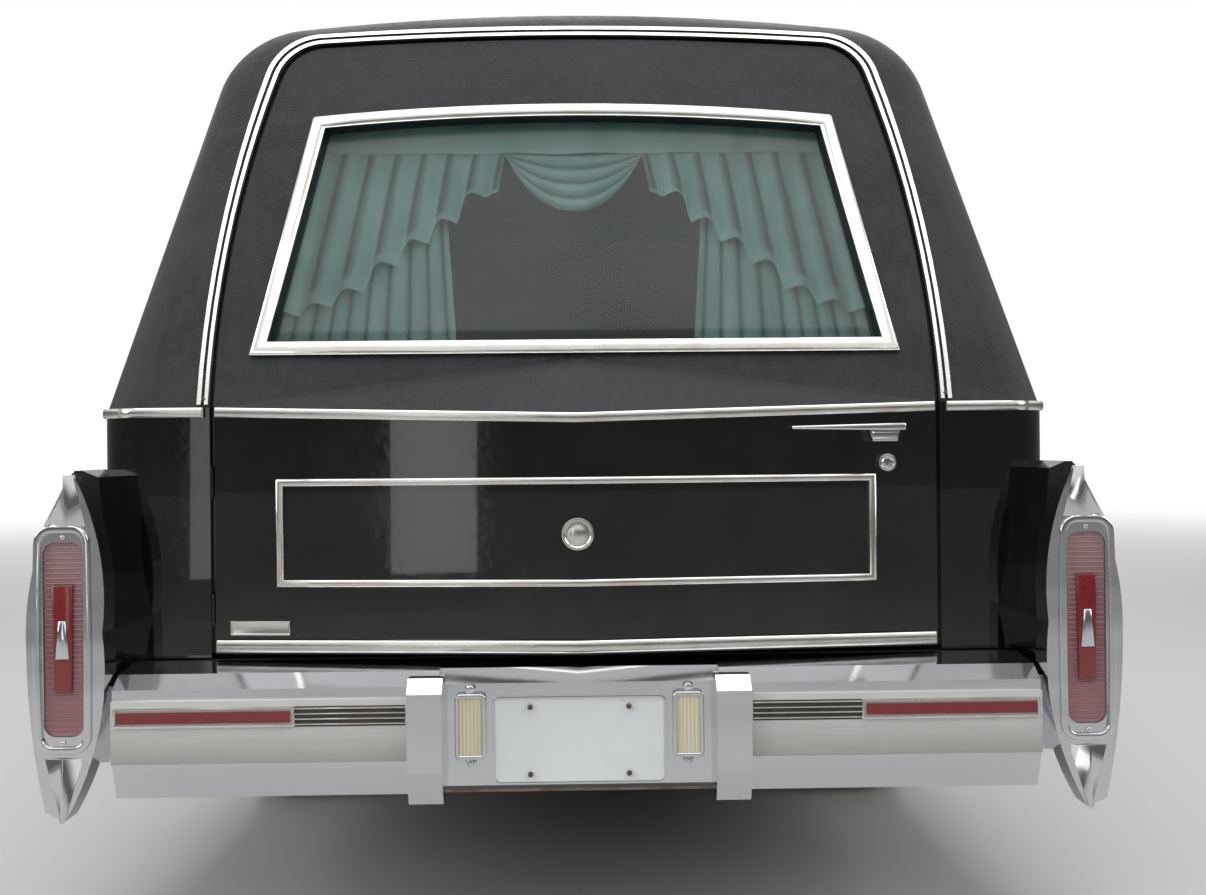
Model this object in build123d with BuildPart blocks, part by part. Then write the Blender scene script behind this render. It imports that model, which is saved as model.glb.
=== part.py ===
"""A long landau funeral coach: high padded roof, side-hinged rear door, tall tail lamps.

Millimetres. +Y points to the front, +X to the right-hand side, +Z up.
The origin lies on the ground, under the middle of the coach.
"""
import os
from math import atan2, cos, degrees, radians, sin, sqrt, tan

from build123d import *

os.makedirs("parts", exist_ok=True)

# Overall layout
length = 6223
front_end = length / 2
rear_end = -length / 2
behind_tail = 88.5 - rear_end
wheelbase = 3683
front_overhang = 1060
front_axle_y = front_end - front_overhang
rear_axle_y = front_axle_y - wheelbase

# Wheels and tyres
tyre_r = 359
tyre_width = 225
tyre_shoulder_r = 38
rim_r = 190
rim_width = 165
rim_wall = 9
hub_face = 12
hub_r = 70
hub_bore_r = 22
front_wheel_x = 783
rear_wheel_x = 771
kingpin_offset = 40
kingpin_x = front_wheel_x - kingpin_offset
fit_gap = 0.3
shut_gap = 8

# Lower body section, half widths and heights
belt_z = 1020
wide_x = 962
wide_z = 620
belt_x = wide_x - 62
crest_x = wide_x - 57
crest_z = 905
tuck_x = wide_x - 37
tuck_z = 330
sill_x = wide_x - 77
sill_bottom_z = 245
sill_top_z = 322
cabin_x = tuck_x - 110

# Upper body
shoulder_x = belt_x - 179
shoulder_z = 1822
roof_z = 1876
shoulder_r = 200
least_r = 12
roof_spare = 6
roof_wall = 45
dash_to_axle = 586.5
glass_run = 565
crown_run = 1200
tail_overhang = 186.5
windshield_base_y = front_axle_y - dash_to_axle
header_y = windshield_base_y - glass_run
header_z = 1452
crown_y = header_y - crown_run
rear_lean = 22
tail_y = rear_end + tail_overhang
rear_corner_r = 75
tumble = (belt_x - shoulder_x) / (shoulder_z - belt_z)
rear_slope = tan(radians(rear_lean))

# Side doors
door_setback = 65
front_door_length = 1070
door_to_axle = 985.5
front_door_front = windshield_base_y - door_setback
front_door_rear = front_door_front - front_door_length
rear_door_front = front_door_rear - shut_gap
rear_door_rear = rear_axle_y + door_to_axle
door_bottom_z = sill_top_z + shut_gap
door_top_z = 1425
door_skin = 14
door_step = 28
door_frame = 38
pillar_band = 90
frame_bar = 42
hinge_x = wide_x - 5
hinge_pin_r = 3.2
hinge_low_z = 590
hinge_high_z = 645

# Floor and wheel housings
floor_z = 345
floor_sheet = 20
load_floor_z = 545
step_y = rear_door_rear - 74
arch_r = 400
front_arch_r = 425
arch_clear = 12
rear_arch_flat_z = 690
tub_x = 640
firewall_y = windshield_base_y - 40
cowl_y = windshield_base_y + 55

# Rear door, as seen from behind
tail_door_x = 684
tail_door_bottom = 556
tail_door_top_x = 585
tail_door_top_z = 1790
tail_corner_r = 90
tail_v = 70
belt_dip = 17
swell = 95
tail_inner_y = tail_y + 62
tail_skin = 14
tail_step = 32
tail_lip = 14
seat_gap = 0.4
tail_hinge_x = -tail_door_x - shut_gap / 2
tail_hinge_y = tail_y - 3

# Rear window
pane_bottom = belt_z + 126
pane_top = tail_door_top_z - 164
pane_rise = 26
pane_bottom_x = 594
pane_top_x = 510
trim_width = 25

# Tail fins and lamps
fin_inner_top_x = wide_x - 100
fin_inner_low_x = wide_x - 126
fin_end_y = rear_end + 71.5
lamp_outer_x = wide_x + 9
lamp_face_y = rear_end + 11.5
lamp_tip_x = wide_x - 75
lamp_tip_z = 902
lamp_low_z = 290
lens_in_x = wide_x - 91
lens_out_x = wide_x - 21
lens_low_z = 438
lens_top_z = 780

# Bumpers
bumper_low_z = 319
bumper_top_z = 521
bumper_x = fin_inner_low_x - 7
rub_low_z = 386
rub_top_z = 497
guard_in_x = 243
guard_out_x = 305
guard_low_z = 307
bumper_back_y = rear_end + 166.5
bumper_face_y = rear_end + 16.5
bumper_recess_y = rear_end + 59.5
bumper_side_front = rear_end + 471.5
return_in_x = wide_x - 89
return_out_x = wide_x - 5
front_bumper_x = wide_x - 7
front_bumper_low = 380
front_bumper_top = 545

# Front end
hood_x = 740
hood_drop = 28
hood_crown = 22
ridge_x = 215
ridge_high = 14
hood_sheet = 30
hood_fall = 0.035
hood_pin_r = 4
hood_eye_r = 8
hood_pin_z = belt_z - 45
hood_pin_y = cowl_y + 12
nose_y = front_end - 151.5
fender_wall = 40
shelf_z = belt_z - 40
grille_x = 300
grille_low = 560
grille_high = 880


def greenhouse(inset):
    """Upper body envelope, drawn in by a wall thickness."""
    foot = 160
    low = belt_z - foot
    side_foot_x = belt_x + tumble * foot - inset
    slope = (header_z - belt_z) / (windshield_base_y - header_y)
    glass_low = (windshield_base_y + foot / slope - inset / sin(atan2(1, 1 / slope)), low)
    head = (header_y - inset * 0.5, header_z - inset)
    crown = (crown_y, roof_z + roof_spare - inset)
    tail_in = inset / cos(radians(rear_lean))
    tail_low = (tail_y - foot * rear_slope + tail_in, low)
    tail_top_z = roof_z + roof_spare / 2 - inset
    tail_high = (tail_y + (tail_top_z - belt_z) * rear_slope + tail_in, tail_top_z)
    with BuildPart() as shape:
        with BuildSketch(Plane.XZ.offset(behind_tail)):
            with BuildLine() as half:
                shoulder = (shoulder_x - inset * (1 - tumble), shoulder_z - inset)
                mid = (shoulder[0] / 2, roof_z - inset - (roof_z - shoulder_z) / 4)
                Line((0, low), (side_foot_x, low))
                Line((side_foot_x, low), shoulder)
                ThreePointArc(shoulder, mid, (0, roof_z - inset))
                corner = half.vertices().sort_by_distance((shoulder[0], shoulder[1], 0))[0]
                fillet(corner, max(shoulder_r - inset, least_r))
                mirror(about=Plane.YZ)
            make_face()
        extrude(amount=-6400)
        with BuildSketch(Plane.YZ.offset(-1200)):
            with BuildLine():
                Line(glass_low, head)
                TangentArc(crown, head, tangent=(1, 0))
                TangentArc(crown, tail_high, tangent=(-1, 0))
                Line(tail_high, tail_low)
                Line(tail_low, glass_low)
            make_face()
        extrude(amount=2400, mode=Mode.INTERSECT)
        rear = shape.faces().sort_by(Axis.Y)[0]
        edges = [e for e in rear.edges() if e.center().Z > low + 40]
        fillet(edges, max(rear_corner_r - inset, least_r))
    return shape.part


def body_side(shift=0):
    """Outer line of the body side, from the belt down to the sill's tuck."""
    Line((belt_x + shift, belt_z), (crest_x + shift, crest_z))
    body_flank(shift)


def body_flank(shift=0):
    """Its two arcs below the crest."""
    upper = (crest_x + 0.68 * (wide_x - crest_x) + shift, (crest_z + wide_z) / 2)
    ThreePointArc((crest_x + shift, crest_z), upper, (wide_x + shift, wide_z))
    lower = (wide_x - 0.3 * (wide_x - tuck_x) + shift, (wide_z + tuck_z) / 2)
    ThreePointArc((wide_x + shift, wide_z), lower, (tuck_x + shift, tuck_z))


def glass_lead(inset, z):
    """Y of a line that runs parallel to the windscreen, set back by a distance."""
    slope = (header_z - belt_z) / (windshield_base_y - header_y)
    return windshield_base_y - inset * sqrt(1 + 1 / slope**2) - (z - belt_z) / slope


def upper_x(z):
    """Half width of the upper body at a height."""
    return belt_x - tumble * (z - belt_z)


def door_outline(y_front, y_rear, grow=0):
    """Side view of a door, larger all round by a shut gap."""
    top = door_top_z + grow
    low = door_bottom_z - grow
    front = y_front + grow
    sill_line = [(front, top), (y_rear - grow, top), (y_rear - grow, low), (front, low)]
    lead = [(glass_lead(pillar_band - grow, z), z) for z in (belt_z, top)]
    if lead[0][0] < front:
        sill_line[0:1] = [(front, belt_z), lead[0], lead[1]]
    Polyline(*sill_line, close=True)


def window_outline(y_front, y_rear):
    """Side view of a door's window."""
    low = belt_z + 15
    top = door_top_z - frame_bar
    lead = pillar_band + frame_bar
    lead_low = min(y_front - frame_bar, glass_lead(lead, low))
    lead_top = min(y_front - frame_bar, glass_lead(lead, top))
    Polyline(
        (lead_low, low),
        (lead_top, top),
        (y_rear + frame_bar + door_step, top),
        (y_rear + frame_bar + door_step, low),
        close=True,
    )


def side_door(y_front, y_rear):
    """A right-hand door: outer skin, inner box set in from its edges, and its window."""
    top_x = upper_x(door_top_z)
    box_top_z = door_top_z - 10
    box_x = upper_x(box_top_z)
    with BuildPart() as door:
        with BuildSketch(Plane.XZ.offset(-y_rear)):
            with BuildLine():
                Line((top_x, door_top_z), (belt_x, belt_z))
                body_side()
                Line((tuck_x, tuck_z), (tuck_x - door_skin, tuck_z))
                body_side(-door_skin)
                Line((belt_x - door_skin, belt_z), (top_x - door_skin, door_top_z))
                Line((top_x - door_skin, door_top_z), (top_x, door_top_z))
            make_face()
        extrude(amount=-(y_front - y_rear))
        with BuildSketch(Plane.XZ.offset(-y_rear - door_step)):
            with BuildLine():
                Line((box_x - door_skin, box_top_z), (belt_x - door_skin, belt_z))
                body_side(-door_skin)
                Line((tuck_x - door_skin, tuck_z), (cabin_x, tuck_z))
                Line((cabin_x, tuck_z), (cabin_x, belt_z - 20))
                Line((cabin_x, belt_z - 20), (belt_x - door_frame, belt_z))
                Line((belt_x - door_frame, belt_z), (box_x - door_frame, box_top_z))
                Line((box_x - door_frame, box_top_z), (box_x - door_skin, box_top_z))
            make_face()
        extrude(amount=-(y_front - y_rear - 2 * door_step))
        with BuildSketch(Plane.YZ.offset(600)):
            with BuildLine():
                door_outline(y_front, y_rear)
            make_face()
        extrude(amount=500, mode=Mode.INTERSECT)
        with BuildSketch(Plane.YZ.offset(600)):
            with BuildLine():
                window_outline(y_front, y_rear)
            make_face()
        extrude(amount=500, mode=Mode.SUBTRACT)
    return door.part


def door_glass(y_front, y_rear, depth, sheet, grow):
    """A flat sheet behind the door's outer face: a window pane or a curtain's space."""
    low = belt_z - 60
    with BuildPart() as pane:
        with BuildSketch(Plane.XZ.offset(-y_rear)):
            Polygon(
                (upper_x(low) - depth, low),
                (upper_x(door_top_z) - depth, door_top_z),
                (upper_x(door_top_z) - depth - sheet, door_top_z),
                (upper_x(low) - depth - sheet, low),
                align=None,
            )
        extrude(amount=-(y_front - y_rear))
        with BuildSketch(Plane.YZ.offset(600)) as outline:
            with BuildLine():
                window_outline(y_front, y_rear)
            make_face()
            if grow:
                offset(amount=grow, kind=Kind.INTERSECTION)
        extrude(amount=500, mode=Mode.INTERSECT)
    return pane.part


def tail_face(grow=0):
    """Rear view of the rear door, larger all round by a distance."""
    high = (tail_door_top_x + grow, tail_door_top_z - 10 + grow)
    mid = (tail_door_x - 16 + grow, (belt_z + tail_door_top_z) / 2)
    side_x = tail_door_x + grow
    low = tail_door_bottom - grow
    with BuildSketch() as shape:
        with BuildLine():
            Polyline((side_x, belt_z), (side_x, low), (-side_x, low), (-side_x, belt_z))
            ThreePointArc((side_x, belt_z), mid, high)
            ThreePointArc((-side_x, belt_z), (-mid[0], mid[1]), (-high[0], high[1]))
            ThreePointArc(high, (0, tail_door_top_z + 14 + grow), (-high[0], high[1]))
        make_face()
        fillet(shape.vertices().group_by(Axis.Y)[-1], tail_corner_r + grow)
    return shape.sketch


def wedge_plan(out, deep):
    """Plan of the rear door's lower panel: a shallow point towards the rear."""
    Polygon(
        (-tail_door_x, tail_y - out),
        (0, tail_y - tail_v - out),
        (tail_door_x, tail_y - out),
        (tail_door_x, deep),
        (-tail_door_x, deep),
        align=None,
    )


# Outline of the rear window, seen from behind
with BuildSketch() as pane_face:
    with BuildLine():
        high = (pane_top_x, pane_top - pane_rise)
        Polyline(
            high, (pane_bottom_x, pane_bottom), (-pane_bottom_x, pane_bottom), (-high[0], high[1])
        )
        ThreePointArc(high, (0, pane_top), (-high[0], high[1]))
    make_face()

body_outer = greenhouse(0)
body_inner = greenhouse(roof_wall)

# The rear door's mouth: a rebate for its skin round a narrower opening
with BuildPart() as tail_mouth:
    add(body_outer)
    add(greenhouse(tail_skin + seat_gap), mode=Mode.SUBTRACT)
    with BuildSketch(Plane.XZ.offset(behind_tail)):
        add(tail_face(shut_gap))
    extrude(amount=-900, mode=Mode.INTERSECT)

# Roof and padded upper body
with BuildPart() as roof_shell:
    add(body_outer)
    add(body_inner, mode=Mode.SUBTRACT)
    split(bisect_by=Plane.XY.offset(belt_z), keep=Keep.TOP)
    with BuildSketch(Plane.XZ.offset(-600)):
        Polygon(
            (-745, belt_z + 25), (745, belt_z + 25), (640, header_z - 30), (-640, header_z - 30),
            align=None,
        )
        fillet(vertices(), 40)
    extrude(amount=-1200, mode=Mode.SUBTRACT)
    with BuildSketch(Plane.YZ.offset(-1000)):
        with BuildLine():
            door_outline(front_door_front, rear_door_rear, shut_gap)
        make_face()
    extrude(amount=2000, mode=Mode.SUBTRACT)
    add(tail_mouth.part, mode=Mode.SUBTRACT)
    with BuildSketch(Plane.XZ.offset(behind_tail)):
        add(tail_face(-tail_lip))
    extrude(amount=-900, mode=Mode.SUBTRACT)

# Side doors and their glass
for name, y_front, y_rear in (
    ("front_door", front_door_front, front_door_rear),
    ("rear_side_door", rear_door_front, rear_door_rear),
):
    right = side_door(y_front, y_rear)
    pane = door_glass(y_front, y_rear, 18, 5, 0)
    curtain = door_glass(y_front, y_rear, door_frame + fit_gap, 24, 8)
    made = [(right, "panel"), (pane, "glass")]
    if name == "rear_side_door":
        made.append((curtain, "drape"))
    for piece, kind in made:
        with BuildPart() as right_side:
            add(piece)
        right_side.part.label = f"{name}_{kind}_right"
        export_step(right_side.part, f"parts/{name}_{kind}_right.step")
        with BuildPart() as left_side:
            mirror(piece, about=Plane.YZ)
        left_side.part.label = f"{name}_{kind}_left"
        export_step(left_side.part, f"parts/{name}_{kind}_left.step")

# Rear door
with BuildPart() as tail_rebate:
    add(greenhouse(tail_skin))
    split(bisect_by=Plane.XY.offset(belt_z), keep=Keep.TOP)
    with BuildSketch(Plane.XY.offset(tail_door_bottom - 50)):
        with Locations((0, tail_y + tail_skin)):
            Rectangle(2000, 400, align=(Align.CENTER, Align.MIN))
    extrude(amount=belt_z - tail_door_bottom + 50)
    with BuildSketch(Plane.XZ.offset(behind_tail)):
        add(tail_face(20))
        add(tail_face(-tail_step), mode=Mode.SUBTRACT)
    extrude(amount=-900, mode=Mode.INTERSECT)

# Its lower panel: pointed in plan, with a swell that dies away below the window
swell_top = (0, tail_y + swell * rear_slope, belt_z + swell)
with BuildPart() as tail_wedge:
    with BuildSketch(Plane.XY.offset(tail_door_bottom)):
        wedge_plan(0, tail_inner_y)
    extrude(amount=belt_z + swell - tail_door_bottom)
    for side in (-1, 1):
        corner = Vector(side * tail_door_x, tail_y, belt_z)
        tip = Vector(0, tail_y - tail_v, belt_z - belt_dip)
        along = tip - corner
        upward = Vector(*swell_top) - corner
        normal = along.cross(upward) * side
        split(bisect_by=Plane(origin=corner, z_dir=normal), keep=Keep.TOP)

with BuildPart() as rear_door:
    add(body_outer)
    add(greenhouse(58), mode=Mode.SUBTRACT)
    split(bisect_by=Plane.XY.offset(belt_z), keep=Keep.TOP)
    with BuildSketch(Plane.XZ.offset(behind_tail)):
        add(tail_face())
    extrude(amount=-900, mode=Mode.INTERSECT)
    add(tail_wedge.part)
    with BuildSketch(Plane.XZ.offset(behind_tail)):
        add(pane_face.sketch)
    extrude(amount=-900, mode=Mode.SUBTRACT)
    add(tail_rebate.part, mode=Mode.SUBTRACT)

# Rear window pane
with BuildPart() as rear_glass:
    add(greenhouse(20))
    add(greenhouse(25), mode=Mode.SUBTRACT)
    with BuildSketch(Plane.XZ.offset(behind_tail)):
        add(pane_face.sketch)
    extrude(amount=-900, mode=Mode.INTERSECT)


def panel_band(proud, low, high, half_width):
    """A strip of the rear door's pointed lower panel, standing proud of it."""
    share = half_width / tail_door_x
    tip = tail_y - tail_v
    edge = tail_y - tail_v * (1 - share)
    with BuildPart() as band:
        with BuildSketch(Plane.XY.offset(low)):
            Polygon(
                (-half_width, edge - proud), (0, tip - proud), (half_width, edge - proud),
                (half_width, edge), (0, tip), (-half_width, edge),
                align=None,
            )
        extrude(amount=high - low)
    return band.part


# Bright trim on the rear door: window frame, panel mouldings, handle and lock
frame_moulding_x = 565
frame_moulding_low = 682
frame_moulding_high = 884
moulding = 13
moulding_proud = 6
sill_moulding_low = 560
sill_moulding_high = 583
belt_moulding = 18
moulding_end_x = tail_door_x - 4
with BuildPart() as belt_band:
    add(panel_band(11, belt_z - belt_dip - belt_moulding - 2, belt_z, moulding_end_x))
    with BuildSketch(Plane.XZ.offset(behind_tail)):
        Polygon(
            (-tail_door_x, belt_z - 1), (0, belt_z - belt_dip - 1), (tail_door_x, belt_z - 1),
            (tail_door_x, belt_z - belt_moulding), (0, belt_z - belt_dip - belt_moulding),
            (-tail_door_x, belt_z - belt_moulding),
            align=None,
        )
    extrude(amount=-900, mode=Mode.INTERSECT)
with BuildPart() as rear_trim:
    add(greenhouse(-8))
    add(body_outer, mode=Mode.SUBTRACT)
    with BuildSketch(Plane.XZ.offset(behind_tail)):
        add(pane_face.sketch)
        offset(amount=trim_width, kind=Kind.INTERSECTION)
        add(
            offset(pane_face.sketch, amount=-1, kind=Kind.INTERSECTION, mode=Mode.PRIVATE),
            mode=Mode.SUBTRACT,
        )
    extrude(amount=-900, mode=Mode.INTERSECT)
    add(panel_band(10, sill_moulding_low, sill_moulding_high, moulding_end_x))
    add(belt_band.part)
    add(panel_band(moulding_proud, frame_moulding_low, frame_moulding_high, frame_moulding_x))
    with BuildSketch(Plane.XZ.offset(behind_tail)):
        with Locations((0, (frame_moulding_low + frame_moulding_high) / 2)):
            Rectangle(
                2 * (frame_moulding_x - moulding),
                frame_moulding_high - frame_moulding_low - 2 * moulding,
            )
    extrude(amount=-400, mode=Mode.SUBTRACT)

# Rear quarters: body side behind the doors, wheel arch, rear corner and tail fin
quarter_front = rear_door_rear - shut_gap
quarter_tail_low = 525
with BuildPart() as quarter:
    with BuildSketch(Plane.XZ.offset(-tail_y)):
        with BuildLine():
            body_side()
            Line((tuck_x, tuck_z), (sill_x, sill_bottom_z))
            Polyline(
                (sill_x, sill_bottom_z), (cabin_x, sill_bottom_z), (cabin_x, belt_z), (belt_x, belt_z)
            )
        make_face()
    extrude(amount=-(quarter_front - tail_y))
    with BuildSketch(Plane.XY.offset(tail_door_bottom - shut_gap)):
        with Locations((tail_door_x + shut_gap, tail_y)):
            Rectangle(
                cabin_x - tail_door_x - shut_gap, 70, align=(Align.MIN, Align.MIN)
            )
    extrude(amount=belt_z - tail_door_bottom + shut_gap)
    with Locations((tail_door_x - tail_lip, tail_y + tail_skin + seat_gap, tail_door_bottom)):
        Box(
            tail_lip + shut_gap + 2, 30, belt_z - tail_door_bottom,
            align=Align.MIN,
        )
    with BuildSketch(Plane.XY.offset(crest_z)):
        with Locations((crest_x - rear_corner_r, tail_y + rear_corner_r)):
            Rectangle(2 * rear_corner_r, 2 * rear_corner_r, align=(Align.MIN, Align.MAX))
            Circle(rear_corner_r, mode=Mode.SUBTRACT)
    extrude(amount=belt_z - crest_z, mode=Mode.SUBTRACT)
    with BuildSketch(Plane.XZ.offset(-tail_y)):
        with BuildLine():
            body_flank()
            Polyline(
                (tuck_x, tuck_z),
                (fin_inner_low_x + 20, tuck_z),
                (fin_inner_low_x, wide_z),
                (fin_inner_top_x, crest_z - 12),
                (crest_x - 14, crest_z),
                (crest_x, crest_z),
            )
        make_face()
    extrude(amount=tail_y - fin_end_y)
    with BuildSketch(Plane.YZ.offset(600)):
        with Locations((rear_axle_y, tyre_r)):
            Circle(arch_r)
        with Locations((rear_axle_y, rear_arch_flat_z)):
            Rectangle(3 * arch_r, arch_r, align=(Align.CENTER, Align.MIN), mode=Mode.SUBTRACT)
    extrude(amount=500, mode=Mode.SUBTRACT)
    with BuildSketch(Plane.YZ.offset(600)):
        with Locations((rear_axle_y, tyre_r)):
            Circle(arch_r)
    extrude(amount=305, mode=Mode.SUBTRACT)
    with BuildSketch(Plane.YZ.offset(600)):
        with Locations((bumper_side_front, 200)):
            Rectangle(700, quarter_tail_low - 200, align=(Align.MAX, Align.MIN))
        with Locations((rear_axle_y, 200)):
            Rectangle(1600, 100, align=(Align.MAX, Align.MIN))
    extrude(amount=500, mode=Mode.SUBTRACT)
with BuildPart() as quarters:
    add(quarter.part)
    mirror(quarter.part, about=Plane.YZ)
    for pin_z in (640, 880):
        with Locations((tail_hinge_x, tail_hinge_y, pin_z)):
            Cylinder(hinge_pin_r, 60)
            with Locations((-9, 4, 0)):
                Box(15, 2.4, 60)

# Sills, centre pillars, lock pillars and the rear sill under the rear door
pillar_run = 60
pillar_clear = 8
with BuildPart() as side_frame:
    with BuildSketch(Plane.XZ.offset(-quarter_front)):
        Polygon(
            (cabin_x - 15, sill_top_z), (tuck_x, sill_top_z), (sill_x, sill_bottom_z),
            (cabin_x - 15, sill_bottom_z),
            align=None,
        )
    extrude(amount=-(front_door_front + shut_gap - quarter_front))
    foot_x = cabin_x - pillar_clear
    knee_z = belt_z + (belt_x - door_frame - foot_x - pillar_clear) / tumble
    top_x = upper_x(door_top_z + 30) - roof_wall - fit_gap
    for middle in (
        front_door_rear - shut_gap / 2,
        rear_door_rear - 36,
    ):
        with BuildSketch(Plane.XZ.offset(-middle + pillar_run / 2)):
            Polygon(
                (foot_x, floor_z), (foot_x, knee_z), (top_x, door_top_z + 30),
                (top_x - 38, door_top_z + 30), (foot_x - 38, knee_z), (foot_x - 38, floor_z),
                align=None,
            )
        extrude(amount=-pillar_run)
    with Locations((cabin_x, front_door_front + shut_gap, sill_top_z - 20)):
        Box(20, 36, shelf_z - 6 - sill_top_z + 20, align=Align.MIN)
    leaf_y = rear_door_front + shut_gap / 2
    with Locations((foot_x - 4, leaf_y, hinge_low_z + 8)):
        Box(
            hinge_x - 16 - foot_x, 20, hinge_high_z - hinge_low_z - 16,
            align=(Align.MIN, Align.CENTER, Align.MIN),
        )
    with Locations((hinge_x, leaf_y, hinge_low_z)):
        Cylinder(hinge_pin_r, hinge_high_z - hinge_low_z, align=(Align.CENTER, Align.CENTER, Align.MIN))
        Box(24, 2.4, hinge_high_z - hinge_low_z, align=(Align.MAX, Align.CENTER, Align.MIN))
with BuildPart() as body_frame:
    add(side_frame.part)
    mirror(side_frame.part, about=Plane.YZ)

# Floor, firewall, cowl and rear wheel housings
rear_sill_y = tail_y + 4
with BuildPart() as floor_pan:
    with BuildSketch(Plane.YZ.offset(-cabin_x)):
        Polygon(
            (firewall_y, floor_z), (step_y, floor_z), (step_y, load_floor_z),
            (rear_sill_y, load_floor_z),
            (rear_sill_y, load_floor_z - 60), (rear_sill_y + floor_sheet, load_floor_z - 60),
            (rear_sill_y + floor_sheet, load_floor_z - floor_sheet),
            (step_y - floor_sheet, load_floor_z - floor_sheet),
            (step_y - floor_sheet, floor_z - floor_sheet),
            (firewall_y + floor_sheet, floor_z - floor_sheet),
            (firewall_y + floor_sheet, belt_z - 45), (cowl_y, belt_z - 52), (cowl_y, belt_z - 37),
            (windshield_base_y, belt_z), (firewall_y, belt_z),
            align=None,
        )
    extrude(amount=2 * cabin_x)
    for side in (-1, 1):
        with Locations((side * (hood_x + shut_gap), 1400, shelf_z - 6)):
            Box(
                200, 400, 200,
                align=(Align.MIN if side > 0 else Align.MAX, Align.MIN, Align.MIN),
                mode=Mode.SUBTRACT,
            )
    with BuildSketch(Plane.YZ.offset(tub_x - 8)):
        with Locations((rear_axle_y, tyre_r)):
            Circle(arch_r + arch_clear)
    extrude(amount=cabin_x - tub_x + 8)
    with BuildSketch(Plane.YZ.offset(-tub_x + 8)):
        with Locations((rear_axle_y, tyre_r)):
            Circle(arch_r + arch_clear)
    extrude(amount=-(cabin_x - tub_x + 8))
    split(bisect_by=Plane.XY.offset(floor_z - floor_sheet), keep=Keep.TOP)
    with BuildSketch(Plane.YZ.offset(tub_x)):
        with Locations((rear_axle_y, tyre_r)):
            Circle(arch_r)
    extrude(amount=cabin_x - tub_x, mode=Mode.SUBTRACT)
    with BuildSketch(Plane.YZ.offset(-tub_x)):
        with Locations((rear_axle_y, tyre_r)):
            Circle(arch_r)
    extrude(amount=-(cabin_x - tub_x), mode=Mode.SUBTRACT)
    with BuildSketch(Plane.YZ.offset(-cabin_x)):
        with Locations((rear_axle_y, 0)):
            Rectangle(3 * arch_r, load_floor_z - floor_sheet, align=(Align.CENTER, Align.MIN))
    extrude(amount=2 * cabin_x, mode=Mode.SUBTRACT)
    for side in (-1, 1):
        with Locations((side * 590, cowl_y - 8, hood_pin_z - 19)):
            Box(8, 22, 26, align=(Align.CENTER, Align.MIN, Align.MIN))
        with Locations(Location((side * 586, hood_pin_y, hood_pin_z), (0, 90 * side, 0))):
            Cylinder(hood_pin_r, 36, align=(Align.CENTER, Align.CENTER, Align.MIN))

# Front wings
fender_rear = front_door_front + shut_gap
front_return_y = front_end - 550
front_return_top = 552
with BuildPart() as fender:
    with BuildSketch(Plane.XZ.offset(-fender_rear)):
        with BuildLine():
            body_side()
            Polyline(
                (tuck_x, tuck_z),
                (sill_x, sill_bottom_z),
                (sill_x - fender_wall, sill_bottom_z),
                (tuck_x - fender_wall, tuck_z),
                (wide_x - fender_wall, wide_z),
                (crest_x - fender_wall, crest_z - 30),
                (belt_x - fender_wall - 20, shelf_z),
                (hood_x + shut_gap, shelf_z),
                (hood_x + shut_gap, belt_z - hood_drop),
                (belt_x - 30, belt_z - fit_gap),
                (belt_x, belt_z),
            )
        make_face()
    extrude(amount=nose_y - fender_rear, dir=(0, 1, -hood_fall))
    split(bisect_by=Plane.XZ.offset(-nose_y), keep=Keep.BOTTOM)
    with BuildSketch(Plane.YZ.offset(600)):
        with Locations((front_axle_y, tyre_r)):
            Circle(front_arch_r)
        with Locations((front_axle_y, 0)):
            Rectangle(1700, 300, align=(Align.MIN, Align.MIN))
        with Locations((front_return_y, 0)):
            Rectangle(700, front_return_top, align=(Align.MIN, Align.MIN))
    extrude(amount=500, mode=Mode.SUBTRACT)
    with Locations((hinge_x, front_door_front + shut_gap / 2, hinge_low_z)):
        Cylinder(hinge_pin_r, hinge_high_z - hinge_low_z, align=(Align.CENTER, Align.CENTER, Align.MIN))
        Box(2.4, 6, hinge_high_z - hinge_low_z, align=(Align.CENTER, Align.MIN, Align.MIN))
with BuildPart() as front_fenders:
    add(fender.part)
    mirror(fender.part, about=Plane.YZ)

# Bonnet, with a raised middle and two hinge eyes
hood_rear_y = hood_pin_y + 12
hood_front_y = nose_y - 12
with BuildPart() as hood:
    with BuildSketch(Plane.XZ.offset(-hood_rear_y)):
        with BuildLine():
            side_z = belt_z - hood_drop - hood_fall * (hood_rear_y - fender_rear)
            ridge_z = side_z + ridge_high
            half_way = (hood_x + ridge_x) / 2
            for side in (-1, 1):
                ThreePointArc(
                    (side * hood_x, side_z),
                    (side * half_way, side_z + ridge_high * 0.72),
                    (side * ridge_x, ridge_z),
                )
                Line((side * hood_x, side_z), (side * hood_x, side_z - hood_sheet))
            ThreePointArc((-ridge_x, ridge_z), (0, side_z + hood_crown), (ridge_x, ridge_z))
            ThreePointArc(
                (hood_x, side_z - hood_sheet),
                (0, side_z + ridge_high - hood_sheet),
                (-hood_x, side_z - hood_sheet),
            )
        make_face()
    extrude(amount=hood_front_y - hood_rear_y, dir=(0, 1, -hood_fall))
    for side in (-1, 1):
        with Locations((side * 608, hood_pin_y, hood_pin_z)):
            Box(20, 30, 2 * hood_eye_r, align=(Align.CENTER, Align.MIN, Align.CENTER))
        with Locations(Location((side * 608, hood_pin_y, hood_pin_z), (0, 90, 0))):
            Cylinder(hood_eye_r, 20)
            Cylinder(hood_pin_r + fit_gap, 24, mode=Mode.SUBTRACT)

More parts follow.
